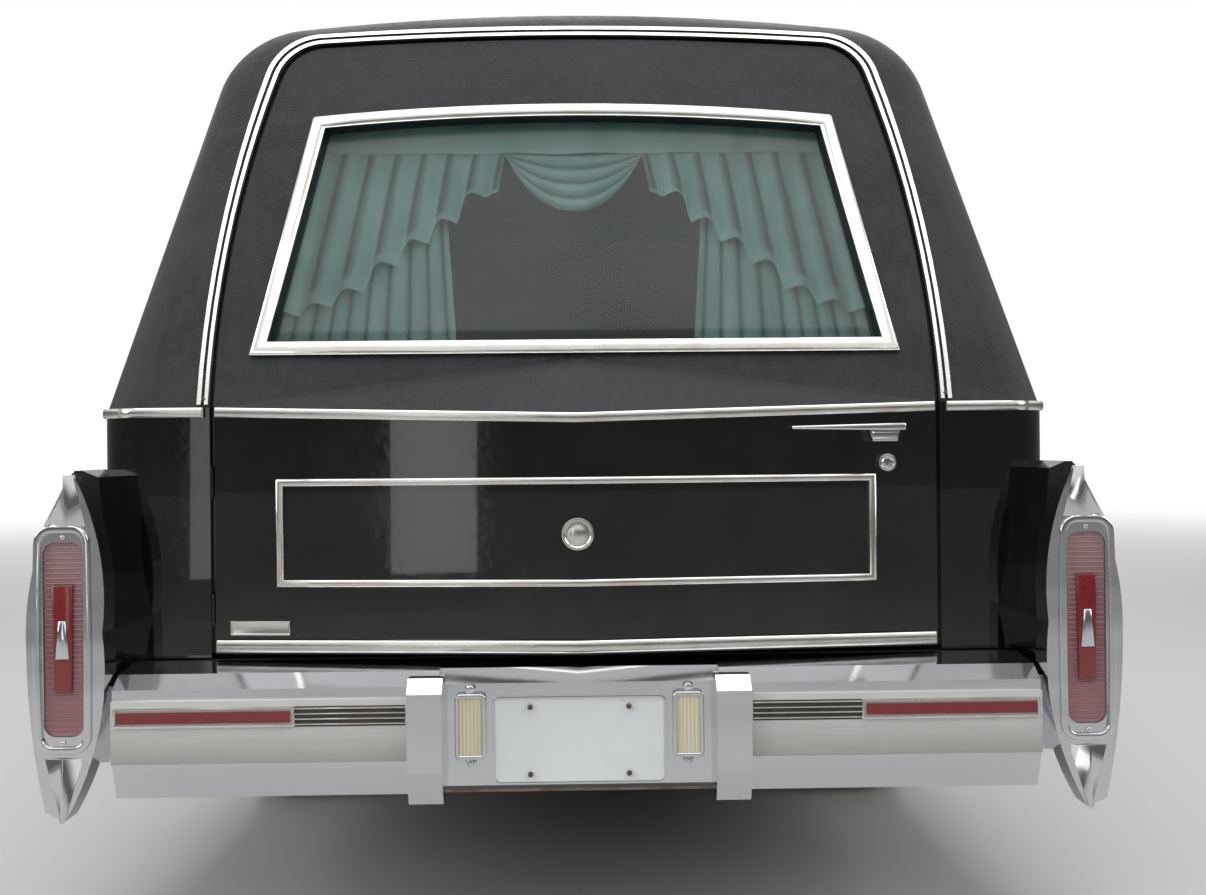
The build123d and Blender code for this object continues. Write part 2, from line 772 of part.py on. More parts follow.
# Nose panel between the wings, with openings for the grille and four lamps
lamp_rows = ((560, 150), (735, 150))
lamp_low = 700
lamp_height = 120
nose_low = 520
nose_depth = 60
nose_top = belt_z - hood_drop - hood_fall * (nose_y - fender_rear) - 6
with BuildPart() as nose_panel:
    with BuildSketch(Plane.XZ.offset(-nose_y)):
        with Locations((0, nose_low)):
            Rectangle(2 * (wide_x - 44), nose_top - nose_low, align=(Align.CENTER, Align.MIN))
        with Locations((0, grille_low)):
            Rectangle(2 * grille_x, grille_high, align=(Align.CENTER, Align.MIN), mode=Mode.SUBTRACT)
        for lamp_x, lamp_wide in lamp_rows:
            with Locations((lamp_x, lamp_low), (-lamp_x, lamp_low)):
                Rectangle(
                    lamp_wide, lamp_height, align=(Align.CENTER, Align.MIN), mode=Mode.SUBTRACT
                )
    extrude(amount=-nose_depth)

# Upright grille: bright frame and crossed bars
grille_depth = 70
grille_frame = 28
grille_columns = 15
grille_rows = 6
grille_bar = 7
grille_y = nose_y + 10
with BuildPart() as grille:
    with BuildSketch(Plane.XZ.offset(-grille_y)):
        with Locations((0, grille_low)):
            Rectangle(2 * grille_x, nose_top - grille_low, align=(Align.CENTER, Align.MIN))
            with Locations((0, grille_frame)):
                Rectangle(
                    2 * (grille_x - grille_frame),
                    nose_top - grille_low - 2 * grille_frame,
                    align=(Align.CENTER, Align.MIN),
                    mode=Mode.SUBTRACT,
                )
    extrude(amount=-grille_depth)
    pitch_x = 2 * (grille_x - grille_frame) / grille_columns
    inner_high = nose_top - grille_low - 2 * grille_frame
    middle_z = (nose_top + grille_low) / 2
    with BuildSketch(Plane.XZ.offset(-grille_y - 20)):
        with Locations((0, middle_z)):
            with GridLocations(pitch_x, 1, grille_columns - 1, 1):
                Rectangle(grille_bar, inner_high)
            with GridLocations(1, inner_high / grille_rows, 1, grille_rows - 1):
                Rectangle(2 * (grille_x - grille_frame), grille_bar)
    extrude(amount=-30)
    with BuildSketch(Plane.YZ.offset(-grille_x)):
        Polygon(
            (grille_y + 12, nose_top - grille_frame), (grille_y + 12, nose_top + 14),
            (grille_y + 45, nose_top + 22), (grille_y + grille_depth, nose_top + 12),
            (grille_y + grille_depth + 8, nose_top - grille_frame),
            align=None,
        )
    extrude(amount=2 * grille_x)

# Lamp glasses at the front, and the reversing lamps in the rear bumper
reverse_lamp_x = 196
reverse_lamp_wide = 40
reverse_lamp_low = 386
reverse_lamp_high = 492
with BuildPart() as clear_lamps:
    with BuildSketch(Plane.XZ.offset(-nose_y - 15)):
        for lamp_x, lamp_wide in lamp_rows:
            with Locations((lamp_x, lamp_low), (-lamp_x, lamp_low)):
                Rectangle(lamp_wide, lamp_height, align=(Align.CENTER, Align.MIN))
    extrude(amount=-25)
    with BuildSketch(Plane.XZ.offset(-bumper_recess_y)):
        with Locations((reverse_lamp_x, reverse_lamp_low), (-reverse_lamp_x, reverse_lamp_low)):
            Rectangle(
                reverse_lamp_wide,
                reverse_lamp_high - reverse_lamp_low,
                align=(Align.CENTER, Align.MIN),
            )
    extrude(amount=12)

# Rear bumper: pressed beam, recessed middle, guards and side returns
bumper_wall = 14
bumper_skin_y = bumper_face_y + 15
guard_high_z = 506
side_return_low = 380
bumper_crest_z = tail_door_bottom - 10
rear_bracket_end = bumper_back_y + 100
front_bracket_end = front_end - 355
side_return_high = 515
plate_z = 411
plate_hole_x = 177.8
plate_hole_z = 120.65
plate_hole_r = 3.5


def bumper_profile(face_y, low_z):
    """Side view of the rear bumper's beam, its upright face at a chosen depth and reach."""
    Polygon(
        (bumper_back_y, bumper_crest_z),
        (face_y + 40, bumper_top_z + 16),
        (face_y, bumper_top_z - 6),
        (face_y, low_z),
        (face_y + 22, bumper_low_z),
        (face_y + 22 + bumper_wall, bumper_low_z),
        (face_y + bumper_wall, low_z + 4),
        (face_y + bumper_wall, bumper_top_z - 18),
        (face_y + 40 + bumper_wall, bumper_top_z + 2),
        (bumper_back_y, bumper_crest_z - bumper_wall),
        align=None,
    )


with BuildPart() as rear_bumper:
    # Each run of the beam: from x, to x, face depth, foot of its upright face
    for low_x, high_x, face_y, low_z in (
        (-bumper_x, -guard_in_x - 10, bumper_skin_y, rub_low_z - 8),
        (guard_in_x + 10, bumper_x, bumper_skin_y, rub_low_z - 8),
        (-guard_in_x - 10, guard_in_x + 10, bumper_recess_y, bumper_low_z + 12),
    ):
        with BuildSketch(Plane.YZ.offset(low_x)):
            bumper_profile(face_y, low_z)
        extrude(amount=high_x - low_x)
    with BuildSketch(Plane.XZ.offset(-bumper_recess_y)):
        with Locations((0, plate_z)):
            with GridLocations(plate_hole_x, plate_hole_z, 2, 2):
                Circle(plate_hole_r)
    extrude(amount=-2 * bumper_wall, mode=Mode.SUBTRACT)
    for side in (-1, 1):
        with BuildSketch(Plane.YZ.offset(side * (guard_in_x + guard_out_x) / 2)):
            Polygon(
                (bumper_recess_y + bumper_wall, guard_high_z + 24),
                (rear_end + 30, guard_high_z + 24),
                (rear_end, guard_high_z),
                (rear_end, rub_low_z - 20),
                (rear_end + 26, guard_low_z),
                (rear_end + 60, guard_low_z),
                (bumper_recess_y + bumper_wall, rub_low_z),
                align=None,
            )
        extrude(amount=(guard_out_x - guard_in_x) / 2, both=True)
        with BuildSketch(Plane.XY.offset(side_return_low)):
            with Locations((side * (return_in_x + return_out_x) / 2, bumper_side_front)):
                Rectangle(
                    return_out_x - return_in_x,
                    bumper_side_front - fin_end_y,
                    align=(Align.CENTER, Align.MAX),
                )
        extrude(amount=side_return_high - side_return_low)
        with BuildSketch(Plane.YZ.offset(side * (bumper_x - 9))):
            Polygon(
                (bumper_back_y, bumper_crest_z - 4), (bumper_skin_y + 20, bumper_top_z),
                (bumper_skin_y + 20, bumper_low_z + 10), (bumper_back_y, bumper_low_z + 10),
                align=None,
            )
        extrude(amount=9, both=True)
        with Locations((side * 400, rear_bracket_end, 440)):
            Box(60, rear_bracket_end - bumper_skin_y - 8, 70, align=(Align.CENTER, Align.MAX, Align.CENTER))
        with BuildSketch(Plane.XY.offset(side_return_low)):
            with Locations((side * (bumper_x - 5 + return_out_x) / 2, fin_end_y)):
                Rectangle(return_out_x - bumper_x + 5, 30, align=(Align.CENTER, Align.MIN))
        extrude(amount=side_return_high - side_return_low)

# Tail lamp surrounds and lenses
with BuildPart() as bezel:
    with BuildSketch(Plane.XZ.offset(-fin_end_y)):
        with BuildLine():
            tip = (lamp_tip_x, lamp_tip_z)
            outer = (lamp_outer_x, (lamp_tip_z + lamp_low_z) / 2)
            foot = (lamp_outer_x - 31, lamp_low_z + 15)
            inner = (fin_inner_low_x + 2, wide_z)
            ThreePointArc(tip, (lamp_outer_x - 33, 800), outer)
            ThreePointArc(outer, (lamp_outer_x - 8, 450), foot)
            Line(foot, (lamp_tip_x + 18, lamp_low_z))
            ThreePointArc((lamp_tip_x + 18, lamp_low_z), (lamp_tip_x - 38, 430), inner)
            ThreePointArc(inner, (lamp_tip_x - 38, 800), tip)
        make_face()
    extrude(amount=fin_end_y - lamp_face_y)
    with BuildSketch(Plane.XZ.offset(-lamp_face_y)):
        with Locations(((lens_in_x + lens_out_x) / 2, (lens_low_z + lens_top_z) / 2)):
            RectangleRounded(lens_out_x - lens_in_x, lens_top_z - lens_low_z, 22)
    extrude(amount=-40, mode=Mode.SUBTRACT)
with BuildPart() as tail_bezels:
    add(bezel.part)
    mirror(bezel.part, about=Plane.YZ)
with BuildPart() as tail_lenses:
    for side in (-1, 1):
        with BuildSketch(Plane.XZ.offset(-lamp_face_y - 40)):
            with Locations((side * (lens_in_x + lens_out_x) / 2, (lens_low_z + lens_top_z) / 2)):
                RectangleRounded(
                    lens_out_x - lens_in_x - 2 * fit_gap,
                    lens_top_z - lens_low_z - 2 * fit_gap,
                    22 - fit_gap,
                )
        extrude(amount=34)

# Front bumper with guards and side returns
front_guard_x = 330
with BuildPart() as front_bumper:
    with BuildSketch(Plane.YZ.offset(-front_bumper_x)):
        Polygon(
            (nose_y + nose_depth + fit_gap, front_bumper_top), (front_end - 25, front_bumper_top),
            (front_end - 12, front_bumper_top - 20), (front_end - 12, front_bumper_low + 20),
            (front_end - 35, front_bumper_low), (front_end - 50, front_bumper_low),
            (front_end - 28, front_bumper_low + 24), (front_end - 28, front_bumper_top - 24),
            (nose_y + nose_depth + fit_gap, front_bumper_top - 14),
            align=None,
        )
    extrude(amount=2 * front_bumper_x)
    for side in (-1, 1):
        with BuildSketch(Plane.YZ.offset(side * front_guard_x)):
            Polygon(
                (front_end - 20, front_bumper_top + 15), (front_end - 8, front_bumper_top + 15),
                (front_end, front_bumper_top - 10), (front_end, front_bumper_low - 10),
                (front_end - 30, front_bumper_low - 40), (front_end - 45, front_bumper_low - 40),
                (front_end - 20, front_bumper_low + 20),
                align=None,
            )
        extrude(amount=28, both=True)
        with BuildSketch(Plane.XY.offset(front_bumper_low + 20)):
            with Locations((side * (front_bumper_x - 8), front_end - 20)):
                Rectangle(16, 520, align=(Align.CENTER, Align.MAX))
        extrude(amount=front_bumper_top - front_bumper_low - 40)
        with Locations((side * 400, front_bracket_end, 455)):
            Box(
                60, front_end - 20 - front_bracket_end, 70,
                align=(Align.CENTER, Align.MIN, Align.CENTER),
            )

# Grey impact strips on both bumpers
reflector_in_x = 511
reflector_out_x = bumper_x - 13
reflector_low = 458
reflector_high = 478
with BuildPart() as reflectors:
    with BuildSketch(Plane.XZ.offset(-bumper_face_y)):
        for side in (-1, 1):
            middle_x = side * (reflector_in_x + reflector_out_x) / 2
            with Locations((middle_x, (reflector_low + reflector_high) / 2)):
                Rectangle(reflector_out_x - reflector_in_x, reflector_high - reflector_low)
    extrude(amount=4)
with BuildPart() as rub_strips:
    with BuildSketch(Plane.XZ.offset(-bumper_skin_y)):
        for side in (-1, 1):
            with Locations((side * (guard_out_x + bumper_x) / 2, (rub_low_z + rub_top_z) / 2)):
                Rectangle(bumper_x - guard_out_x - 4, rub_top_z - rub_low_z)
    extrude(amount=bumper_skin_y - bumper_face_y)
    with BuildSketch(Plane.XZ.offset(-front_end + 12)):
        middle_z = (front_bumper_low + front_bumper_top) / 2
        for side in (-1, 1):
            with Locations((side * (front_guard_x + 28 + front_bumper_x) / 2, middle_z)):
                Rectangle(front_bumper_x - front_guard_x - 40, 60)
        with Locations((0, middle_z)):
            Rectangle(2 * (front_guard_x - 32), 60)
    extrude(amount=-10)

# Windscreen
with BuildPart() as windscreen:
    add(greenhouse(18))
    add(greenhouse(24), mode=Mode.SUBTRACT)
    with BuildSketch(Plane.XZ.offset(-600)):
        Polygon(
            (-745, belt_z + 25), (745, belt_z + 25), (640, header_z - 30), (-640, header_z - 30),
            align=None,
        )
        fillet(vertices(), 40)
    extrude(amount=-1200, mode=Mode.INTERSECT)

# Ladder frame: rails stepped in at the front wheels and over the rear axle
rail_width = 70
rail_low = 240
rail_high = floor_z - floor_sheet
front_rail_x = 400
mid_rail_x = 600
rear_rail_x = 470
axle_rail_low = 440
front_rail_low = 420
front_rail_high = 490
load_rail_high = load_floor_z - floor_sheet
cross_low_z = 216
cross_front_y = firewall_y - 275
cross_mid_y = rear_door_rear + 346
tank_front_y = tail_y + 515
tank_top_z = 455
kick_y = front_axle_y - 351.5
joggle_y = firewall_y + 25
rear_joggle_y = rear_axle_y + 691.5
with BuildPart() as chassis_frame:
    with BuildSketch(Plane.YZ.offset(-mid_rail_x)):
        Polygon(
            (front_bracket_end, front_rail_low), (front_bracket_end, front_rail_high),
            (front_axle_y + 400, front_rail_high), (kick_y, front_rail_high - 20),
            (joggle_y, rail_high), (rear_joggle_y - 60, rail_high),
            (rear_joggle_y - 310, load_rail_high), (rear_bracket_end, load_rail_high),
            (rear_bracket_end, axle_rail_low), (rear_joggle_y - 260, axle_rail_low),
            (rear_joggle_y, rail_low), (joggle_y, rail_low), (kick_y + 40, 400),
            (front_axle_y + 400, front_rail_low),
            align=None,
        )
    extrude(amount=2 * mid_rail_x)
    with BuildSketch(Plane.XY.offset(200)):
        # Outer edge of one rail from the front, x and y; the inner edge lies a width inside
        for side in (-1, 1):
            Polygon(
                (side * (front_rail_x - rail_width), front_end),
                (side * front_rail_x, front_end),
                (side * front_rail_x, joggle_y + 50),
                (side * mid_rail_x, joggle_y - 200),
                (side * mid_rail_x, rear_joggle_y + 40),
                (side * rear_rail_x, rear_joggle_y - 260),
                (side * rear_rail_x, rear_end),
                (side * (rear_rail_x - rail_width), rear_end),
                (side * (rear_rail_x - rail_width), rear_joggle_y - 280),
                (side * (mid_rail_x - rail_width), rear_joggle_y + 20),
                (side * (mid_rail_x - rail_width), joggle_y - 215),
                (side * (front_rail_x - rail_width), joggle_y + 30),
                align=None,
            )
    extrude(amount=400, mode=Mode.INTERSECT)
    # Crossmembers: y, half length, underside, top
    for cross_y, half_x, low_z, high_z in (
        (front_axle_y + 598.5, front_rail_x, 425, 485),
        (cross_front_y, mid_rail_x, cross_low_z, rail_low + 8),
        (cross_mid_y, mid_rail_x, cross_low_z, rail_low + 8),
        (rear_axle_y + 331.5, rear_rail_x, 455, 515),
        (tank_front_y - 40, rear_rail_x, tank_top_z, tank_top_z + 60),
    ):
        with Locations((0, cross_y, low_z)):
            Box(
                2 * (half_x - rail_width / 2), 80, high_z - low_z,
                align=(Align.CENTER, Align.CENTER, Align.MIN),
            )

# Engine and gearbox as one plain mass
engine_y = front_axle_y + 28.5
with BuildPart() as engine:
    with Locations((0, engine_y, 620)):
        Box(520, 620, 380)
    with Locations((0, engine_y, 850)):
        Box(300, 420, 80)
    with Locations((0, engine_y - 465, 345)):
        Box(260, 310, 170)
    with Locations((0, engine_y - 320, 400)):
        Box(260, 30, 250)
    with Locations((0, engine_y + 170, 450)):
        Box(2 * (front_rail_x - rail_width), 60, 50)

# Front crossmember and arms, propeller shaft, rear axle
arm_low_z = 225
arm_high_z = 500
arm_sheet = 24
arm_half = 20
tower_x = front_rail_x - rail_width - 22
shaft_z = 285
shaft_r = 32
shaft_joint_y = rear_joggle_y + 200
shaft_front_y = engine_y - 620
with BuildPart() as axles:
    with Locations((0, front_axle_y, 365)):
        Box(2 * (front_rail_x - rail_width), 120, 100)
    for side in (-1, 1):
        with Locations((side * tower_x, front_axle_y, (arm_low_z + arm_high_z) / 2)):
            Box(44, 120, arm_high_z - arm_low_z + arm_sheet)
        for arm_z in (arm_low_z, arm_high_z):
            with BuildSketch(Plane.XY.offset(arm_z - arm_sheet / 2)):
                Polygon(
                    (side * tower_x, front_axle_y - 60),
                    (side * tower_x, front_axle_y + 60),
                    (side * kingpin_x, front_axle_y + arm_half),
                    (side * kingpin_x, front_axle_y - arm_half),
                    align=None,
                )
                with Locations((side * kingpin_x, front_axle_y)):
                    Circle(arm_half + 6)
            extrude(amount=arm_sheet)
        with Locations((side * (rear_rail_x - rail_width / 2), rear_axle_y, tyre_r)):
            Cylinder(45, axle_rail_low - tyre_r, align=(Align.CENTER, Align.CENTER, Align.MIN))
    with Locations(Location((0, rear_axle_y, tyre_r), (0, 90, 0))):
        Cylinder(42, 2 * (rear_wheel_x - 70))
        Cylinder(hub_bore_r, 2 * (rear_wheel_x + 80))
    with Locations((0, rear_axle_y, tyre_r)):
        Sphere(110)
    with Locations(Location((0, (shaft_joint_y + shaft_front_y) / 2, shaft_z), (90, 0, 0))):
        Cylinder(shaft_r, shaft_front_y - shaft_joint_y)
    with BuildSketch(
        Plane(
            origin=(0, shaft_joint_y, shaft_z),
            z_dir=(0, rear_axle_y - shaft_joint_y, tyre_r - shaft_z),
        )
    ):
        Circle(shaft_r)
    extrude(amount=shaft_joint_y - rear_axle_y)

# Exhaust pipe and silencer, and the fuel tank
pipe_r = 26
pipe_low = 184
pipe_x = 180
with BuildPart() as exhaust:
    with BuildLine() as pipe_path:
        FilletPolyline(
            (pipe_x, kick_y, 300),
            (pipe_x, cross_front_y + 50, pipe_low),
            (pipe_x, rear_joggle_y + 90, pipe_low),
            (300, rear_axle_y + 381.5, 240),
            (300, rear_axle_y - 118.5, 240),
            (435, rear_axle_y - 418.5, 330),
            (435, tail_y + 225, 330),
            radius=60,
        )
    with BuildSketch(Plane(origin=pipe_path.line @ 0, z_dir=pipe_path.line % 0)):
        RegularPolygon(pipe_r, 12)
    sweep()
    with Locations((pipe_x, cross_mid_y + 400, pipe_low + 10)):
        Box(180, 640, 100)
    for hanger_y in (cross_front_y, cross_mid_y):
        with Locations((pipe_x, hanger_y, pipe_low)):
            Box(40, 30, cross_low_z - pipe_low, align=(Align.CENTER, Align.CENTER, Align.MIN))
    with Locations((0, tank_front_y, tank_top_z)):
        Box(700, 420, 190, align=(Align.CENTER, Align.MAX, Align.MAX))

# Front bench seat, bulkhead behind it, dashboard
seat_half = cabin_x - 125
seat_front = front_door_front - 390
seat_back_y = seat_front - 580
bulkhead_y = seat_back_y - 230
with BuildPart() as seat:
    with BuildSketch(Plane.YZ.offset(-seat_half)):
        Polygon(
            (seat_front, floor_z + fit_gap), (seat_front + 20, 560), (seat_front - 20, 600),
            (seat_back_y + 80, 575), (seat_back_y - 60, 1090), (seat_back_y - 190, 1080),
            (seat_back_y - 60, floor_z + fit_gap),
            align=None,
        )
    extrude(amount=2 * seat_half)
with BuildPart() as bulkhead:
    with Locations((0, bulkhead_y, floor_z)):
        Box(2 * (cabin_x - 60), 30, 620, align=(Align.CENTER, Align.CENTER, Align.MIN))
dash_y = firewall_y - 275
with BuildPart() as dashboard:
    with BuildSketch(Plane.YZ.offset(-740)):
        Polygon(
            (firewall_y, 650), (firewall_y, 960), (dash_y, 960), (dash_y - 40, 900),
            (dash_y, 760), (dash_y + 150, 650),
            align=None,
        )
    extrude(amount=1480)

# Steering wheel, facing the driver
wheel_tilt = 25
steer_point = (-400, dash_y - 150, 850)
steer_axis = (0, -cos(radians(wheel_tilt)), sin(radians(wheel_tilt)))
steer_plane = Plane(origin=steer_point, x_dir=(1, 0, 0), z_dir=steer_axis)
with BuildPart() as steering_wheel:
    with BuildSketch(Plane.XZ):
        with Locations((185, 0)):
            RegularPolygon(14, 8)
    revolve(axis=Axis.Z)
    Cylinder(45, 40)
    Box(370, 36, 14)
with BuildPart() as column:
    with BuildSketch(steer_plane.offset(-20 - fit_gap)):
        Circle(32)
    extrude(amount=-230)

# Casket deck with rollers
deck_high = load_floor_z + 26
with BuildPart() as deck:
    with BuildSketch(Plane.XY.offset(load_floor_z)):
        with Locations((0, step_y)):
            Rectangle(2 * (tub_x - 12), step_y - tail_y - 90, align=(Align.CENTER, Align.MAX))
    extrude(amount=26)
    with Locations(
        *[Location((0, step_y - 60 - 300 * n, deck_high + 6), (0, 90, 0)) for n in range(7)]
    ):
        Cylinder(16, 900)

# Belt mouldings, drip mouldings round the rear door, and landau bars
moulding_deep = 9
moulding_high = 18
bar_lean = degrees(atan2(tumble, 1))
bar_z = 1340
bar_y = rear_axle_y - 18.5
with BuildPart() as landau_bar:
    bar_plane = Plane(
        origin=(upper_x(bar_z), bar_y, bar_z),
        x_dir=(0, 1, 0),
        z_dir=(cos(radians(bar_lean)), 0, sin(radians(bar_lean))),
    )
    with BuildSketch(bar_plane):
        with BuildLine() as bar_line:
            ThreePointArc((-560, 130), (-300, 150), (0, 0))
            ThreePointArc((0, 0), (300, -150), (560, -130))
        trace(line_width=34)
        with Locations((-560, 130), (560, -130)):
            Circle(34)
    extrude(amount=14)
with BuildPart() as body_mouldings:
    with BuildSketch(Plane.XY.offset(belt_z - moulding_high)):
        run = quarter_front - 2 - tail_y
        with Locations((0, quarter_front - 2)):
            Rectangle(
                2 * (belt_x + moulding_deep), run + moulding_deep, align=(Align.CENTER, Align.MAX)
            )
        fillet(vertices().group_by(Axis.Y)[0], rear_corner_r + moulding_deep)
        with Locations((0, quarter_front)):
            Rectangle(
                2 * belt_x, run + 2, align=(Align.CENTER, Align.MAX), mode=Mode.SUBTRACT
            )
        with Locations((0, tail_y)):
            Rectangle(2 * (tail_door_x + shut_gap + 10), 100, mode=Mode.SUBTRACT)
    extrude(amount=moulding_high)
    add(quarters.part, mode=Mode.SUBTRACT)
    # Twin drip mouldings: distance from the door's edge to each strip's inner and outer edge
    for strip_in, strip_out in ((shut_gap + 2, shut_gap + 9), (shut_gap + 15, shut_gap + 23)):
        with BuildPart(mode=Mode.PRIVATE) as strip:
            add(greenhouse(-6))
            add(body_outer, mode=Mode.SUBTRACT)
            split(bisect_by=Plane.XY.offset(belt_z + 6), keep=Keep.TOP)
            with BuildSketch(Plane.XZ.offset(behind_tail)):
                add(tail_face(strip_out))
                add(tail_face(strip_in), mode=Mode.SUBTRACT)
            extrude(amount=-900, mode=Mode.INTERSECT)
        add(strip.part)
    add(landau_bar.part)
    mirror(landau_bar.part, about=Plane.YZ)

# Curtains: soft slabs behind the rear window and the rear side windows
with BuildPart() as rear_drapes:
    add(greenhouse(58 + fit_gap))
    add(greenhouse(84), mode=Mode.SUBTRACT)
    with BuildSketch(Plane.XZ.offset(behind_tail)):
        add(pane_face.sketch)
        offset(amount=14, kind=Kind.INTERSECTION)
        with Locations((0, pane_bottom - 40)):
            Trapezoid(560, 380, 78, align=(Align.CENTER, Align.MIN), mode=Mode.SUBTRACT)
    extrude(amount=-900, mode=Mode.INTERSECT)

# Door mirrors: a housing on a stalk from the door's shoulder
mirror_y = front_door_front - 190
with BuildPart() as door_mirror:
    with BuildSketch(Plane.XZ.offset(-mirror_y)):
        with Locations((1005, 1078)):
            RectangleRounded(150, 98, 24)
    extrude(amount=-38, taper=8)
    with BuildSketch(Plane.XZ.offset(-mirror_y - 6)):
        Polygon(
            (crest_x - 1.2, 958), (crest_x - 1.2, 932), (945, 985), (985, 1035), (945, 1035),
            align=None,
        )
    extrude(amount=-22)
    add(side_door(front_door_front, front_door_rear), mode=Mode.SUBTRACT)

# Tyres and wheels, each modelled at the origin with its axle along X
with BuildPart() as tyre:
    with BuildSketch(Plane.XZ):
        half = tyre_width / 2
        bead = rim_width / 2
        with BuildLine():
            # Half the section: half width, radius
            outline = (
                (bead, rim_r), (half, rim_r + 62), (half - 8, tyre_r - 38), (half - 34, tyre_r - 4),
                (0, tyre_r),
            )
            Polyline(*outline)
            Polyline(*[(-x, r) for x, r in outline])
            Line((bead, rim_r), (-bead, rim_r))
        make_face()
    revolve(axis=Axis.X)
with BuildPart() as rim:
    with BuildSketch(Plane.XZ):
        bore = hub_bore_r + fit_gap
        Polygon(
            (-bead, rim_r), (bead, rim_r), (bead, rim_r - rim_wall), (bead - 14, rim_r - 20),
            (bead - 8, 128), (bead - 24, 96), (bead + 4, 62), (bead + 8, bore),
            (40, bore), (22, rim_r - 18), (-bead, rim_r - rim_wall),
            align=None,
        )
    revolve(axis=Axis.X)
wheel_places = {
    "front_right": (front_wheel_x, front_axle_y, 0),
    "front_left": (-front_wheel_x, front_axle_y, 180),
    "rear_right": (rear_wheel_x, rear_axle_y, 0),
    "rear_left": (-rear_wheel_x, rear_axle_y, 180),
}

# Steering uprights with their stub axles
with BuildPart() as upright:
    upright_low = arm_low_z + arm_sheet / 2 + fit_gap
    upright_high = arm_high_z - arm_sheet / 2 - fit_gap
    with Locations((kingpin_x, front_axle_y, upright_low)):
        Cylinder(26, upright_high - upright_low, align=(Align.CENTER, Align.CENTER, Align.MIN))
    with Locations(Location((kingpin_x, front_axle_y, tyre_r), (0, 90, 0))):
        Cylinder(
            hub_bore_r, kingpin_offset + 80, align=(Align.CENTER, Align.CENTER, Align.MIN)
        )
    with Locations(Location((kingpin_x + 28, front_axle_y, tyre_r), (0, 90, 0))):
        Cylinder(118, 10)

with BuildPart() as left_mirror:
    mirror(door_mirror.part, about=Plane.YZ)
with BuildPart() as dashboard_set:
    add(dashboard.part)
    add(column.part)

pieces = {
    "roof_shell": roof_shell.part,
    "rear_door_panel": rear_door.part,
    "rear_door_glass": rear_glass.part,
    "rear_door_trim": rear_trim.part,
    "rear_door_drapes": rear_drapes.part,
    "quarters": quarters.part,
    "body_frame": body_frame.part,
    "floor_pan": floor_pan.part,
    "front_fenders": front_fenders.part,
    "hood": hood.part,
    "nose_panel": nose_panel.part,
    "grille": grille.part,
    "clear_lamps": clear_lamps.part,
    "rear_bumper": rear_bumper.part,
    "front_bumper": front_bumper.part,
    "rub_strips": rub_strips.part,
    "bumper_reflectors": reflectors.part,
    "tail_bezels": tail_bezels.part,
    "tail_lenses": tail_lenses.part,
    "windscreen": windscreen.part,
    "chassis_frame": chassis_frame.part,
    "engine": engine.part,
    "axles": axles.part,
    "exhaust_and_tank": exhaust.part,
    "front_seat": seat.part,
    "bulkhead": bulkhead.part,
    "dashboard": dashboard_set.part,
    "steering_wheel": steer_plane.location * steering_wheel.part,
    "door_mirror_right": door_mirror.part,
    "door_mirror_left": left_mirror.part,
    "casket_deck": deck.part,
    "body_mouldings": body_mouldings.part,
    "knuckle_right": upright.part,
}
for place, (wheel_x, wheel_y, turn) in wheel_places.items():
    for kind, piece in (("tyre", tyre.part), ("rim", rim.part)):
        pieces[f"{kind}_{place}"] = Location((wheel_x, wheel_y, tyre_r), (0, 0, turn)) * piece
with BuildPart() as left_upright:
    mirror(upright.part, about=Plane.YZ)
pieces["knuckle_left"] = left_upright.part
for name, piece in pieces.items():
    piece.label = name
    export_step(piece, f"parts/{name}.step")
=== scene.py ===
# %% [markdown]
# # Dressing a landau funeral coach
# The coach comes in as plain solids that already have the right size, shape and joints.
# This lesson gives them their finishes, then adds what solids leave out: curtains, seat
# padding, tread, lamps, handles and small fittings. Every length is in metres. The origin
# lies on the ground under the middle of the coach, and +Y points to its front.

# %% The solids and their box
import math

import bmesh
import bpy
from mathutils import Matrix, Vector
from mathutils.bvhtree import BVHTree


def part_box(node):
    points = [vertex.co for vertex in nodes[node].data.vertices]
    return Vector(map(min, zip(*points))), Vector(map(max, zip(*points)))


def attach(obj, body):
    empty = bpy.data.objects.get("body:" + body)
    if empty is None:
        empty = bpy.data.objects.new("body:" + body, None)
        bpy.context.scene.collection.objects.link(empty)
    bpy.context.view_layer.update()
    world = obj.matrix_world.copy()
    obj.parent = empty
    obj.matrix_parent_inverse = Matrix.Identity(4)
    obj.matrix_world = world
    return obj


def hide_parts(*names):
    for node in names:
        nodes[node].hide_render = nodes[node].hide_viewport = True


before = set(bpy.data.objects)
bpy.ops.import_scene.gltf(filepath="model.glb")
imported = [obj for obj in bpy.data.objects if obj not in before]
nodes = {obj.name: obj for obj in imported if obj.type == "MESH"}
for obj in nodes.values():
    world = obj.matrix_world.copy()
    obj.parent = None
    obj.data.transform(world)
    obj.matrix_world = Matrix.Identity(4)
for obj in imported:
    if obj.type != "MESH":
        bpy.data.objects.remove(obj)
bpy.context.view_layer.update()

# %% [markdown]
# ## Working by hand, in code
# Blender's mesh operators act on whatever is selected, so each helper first lets go of
# everything and then takes hold of one piece. A face is chosen by where its middle is and
# which way it looks, which stays true when sizes change, and an index doesn't.

# %% Taking hold of a piece


def let_go():
    """Leave edit mode and deselect every object"""
    if bpy.context.object and bpy.context.object.mode != "OBJECT":
        bpy.ops.object.mode_set(mode="OBJECT")
    bpy.ops.object.select_all(action="DESELECT")


def hold(piece):
    """Make one piece the only selected object"""
    let_go()
    piece.select_set(True)
    bpy.context.view_layer.objects.active = piece


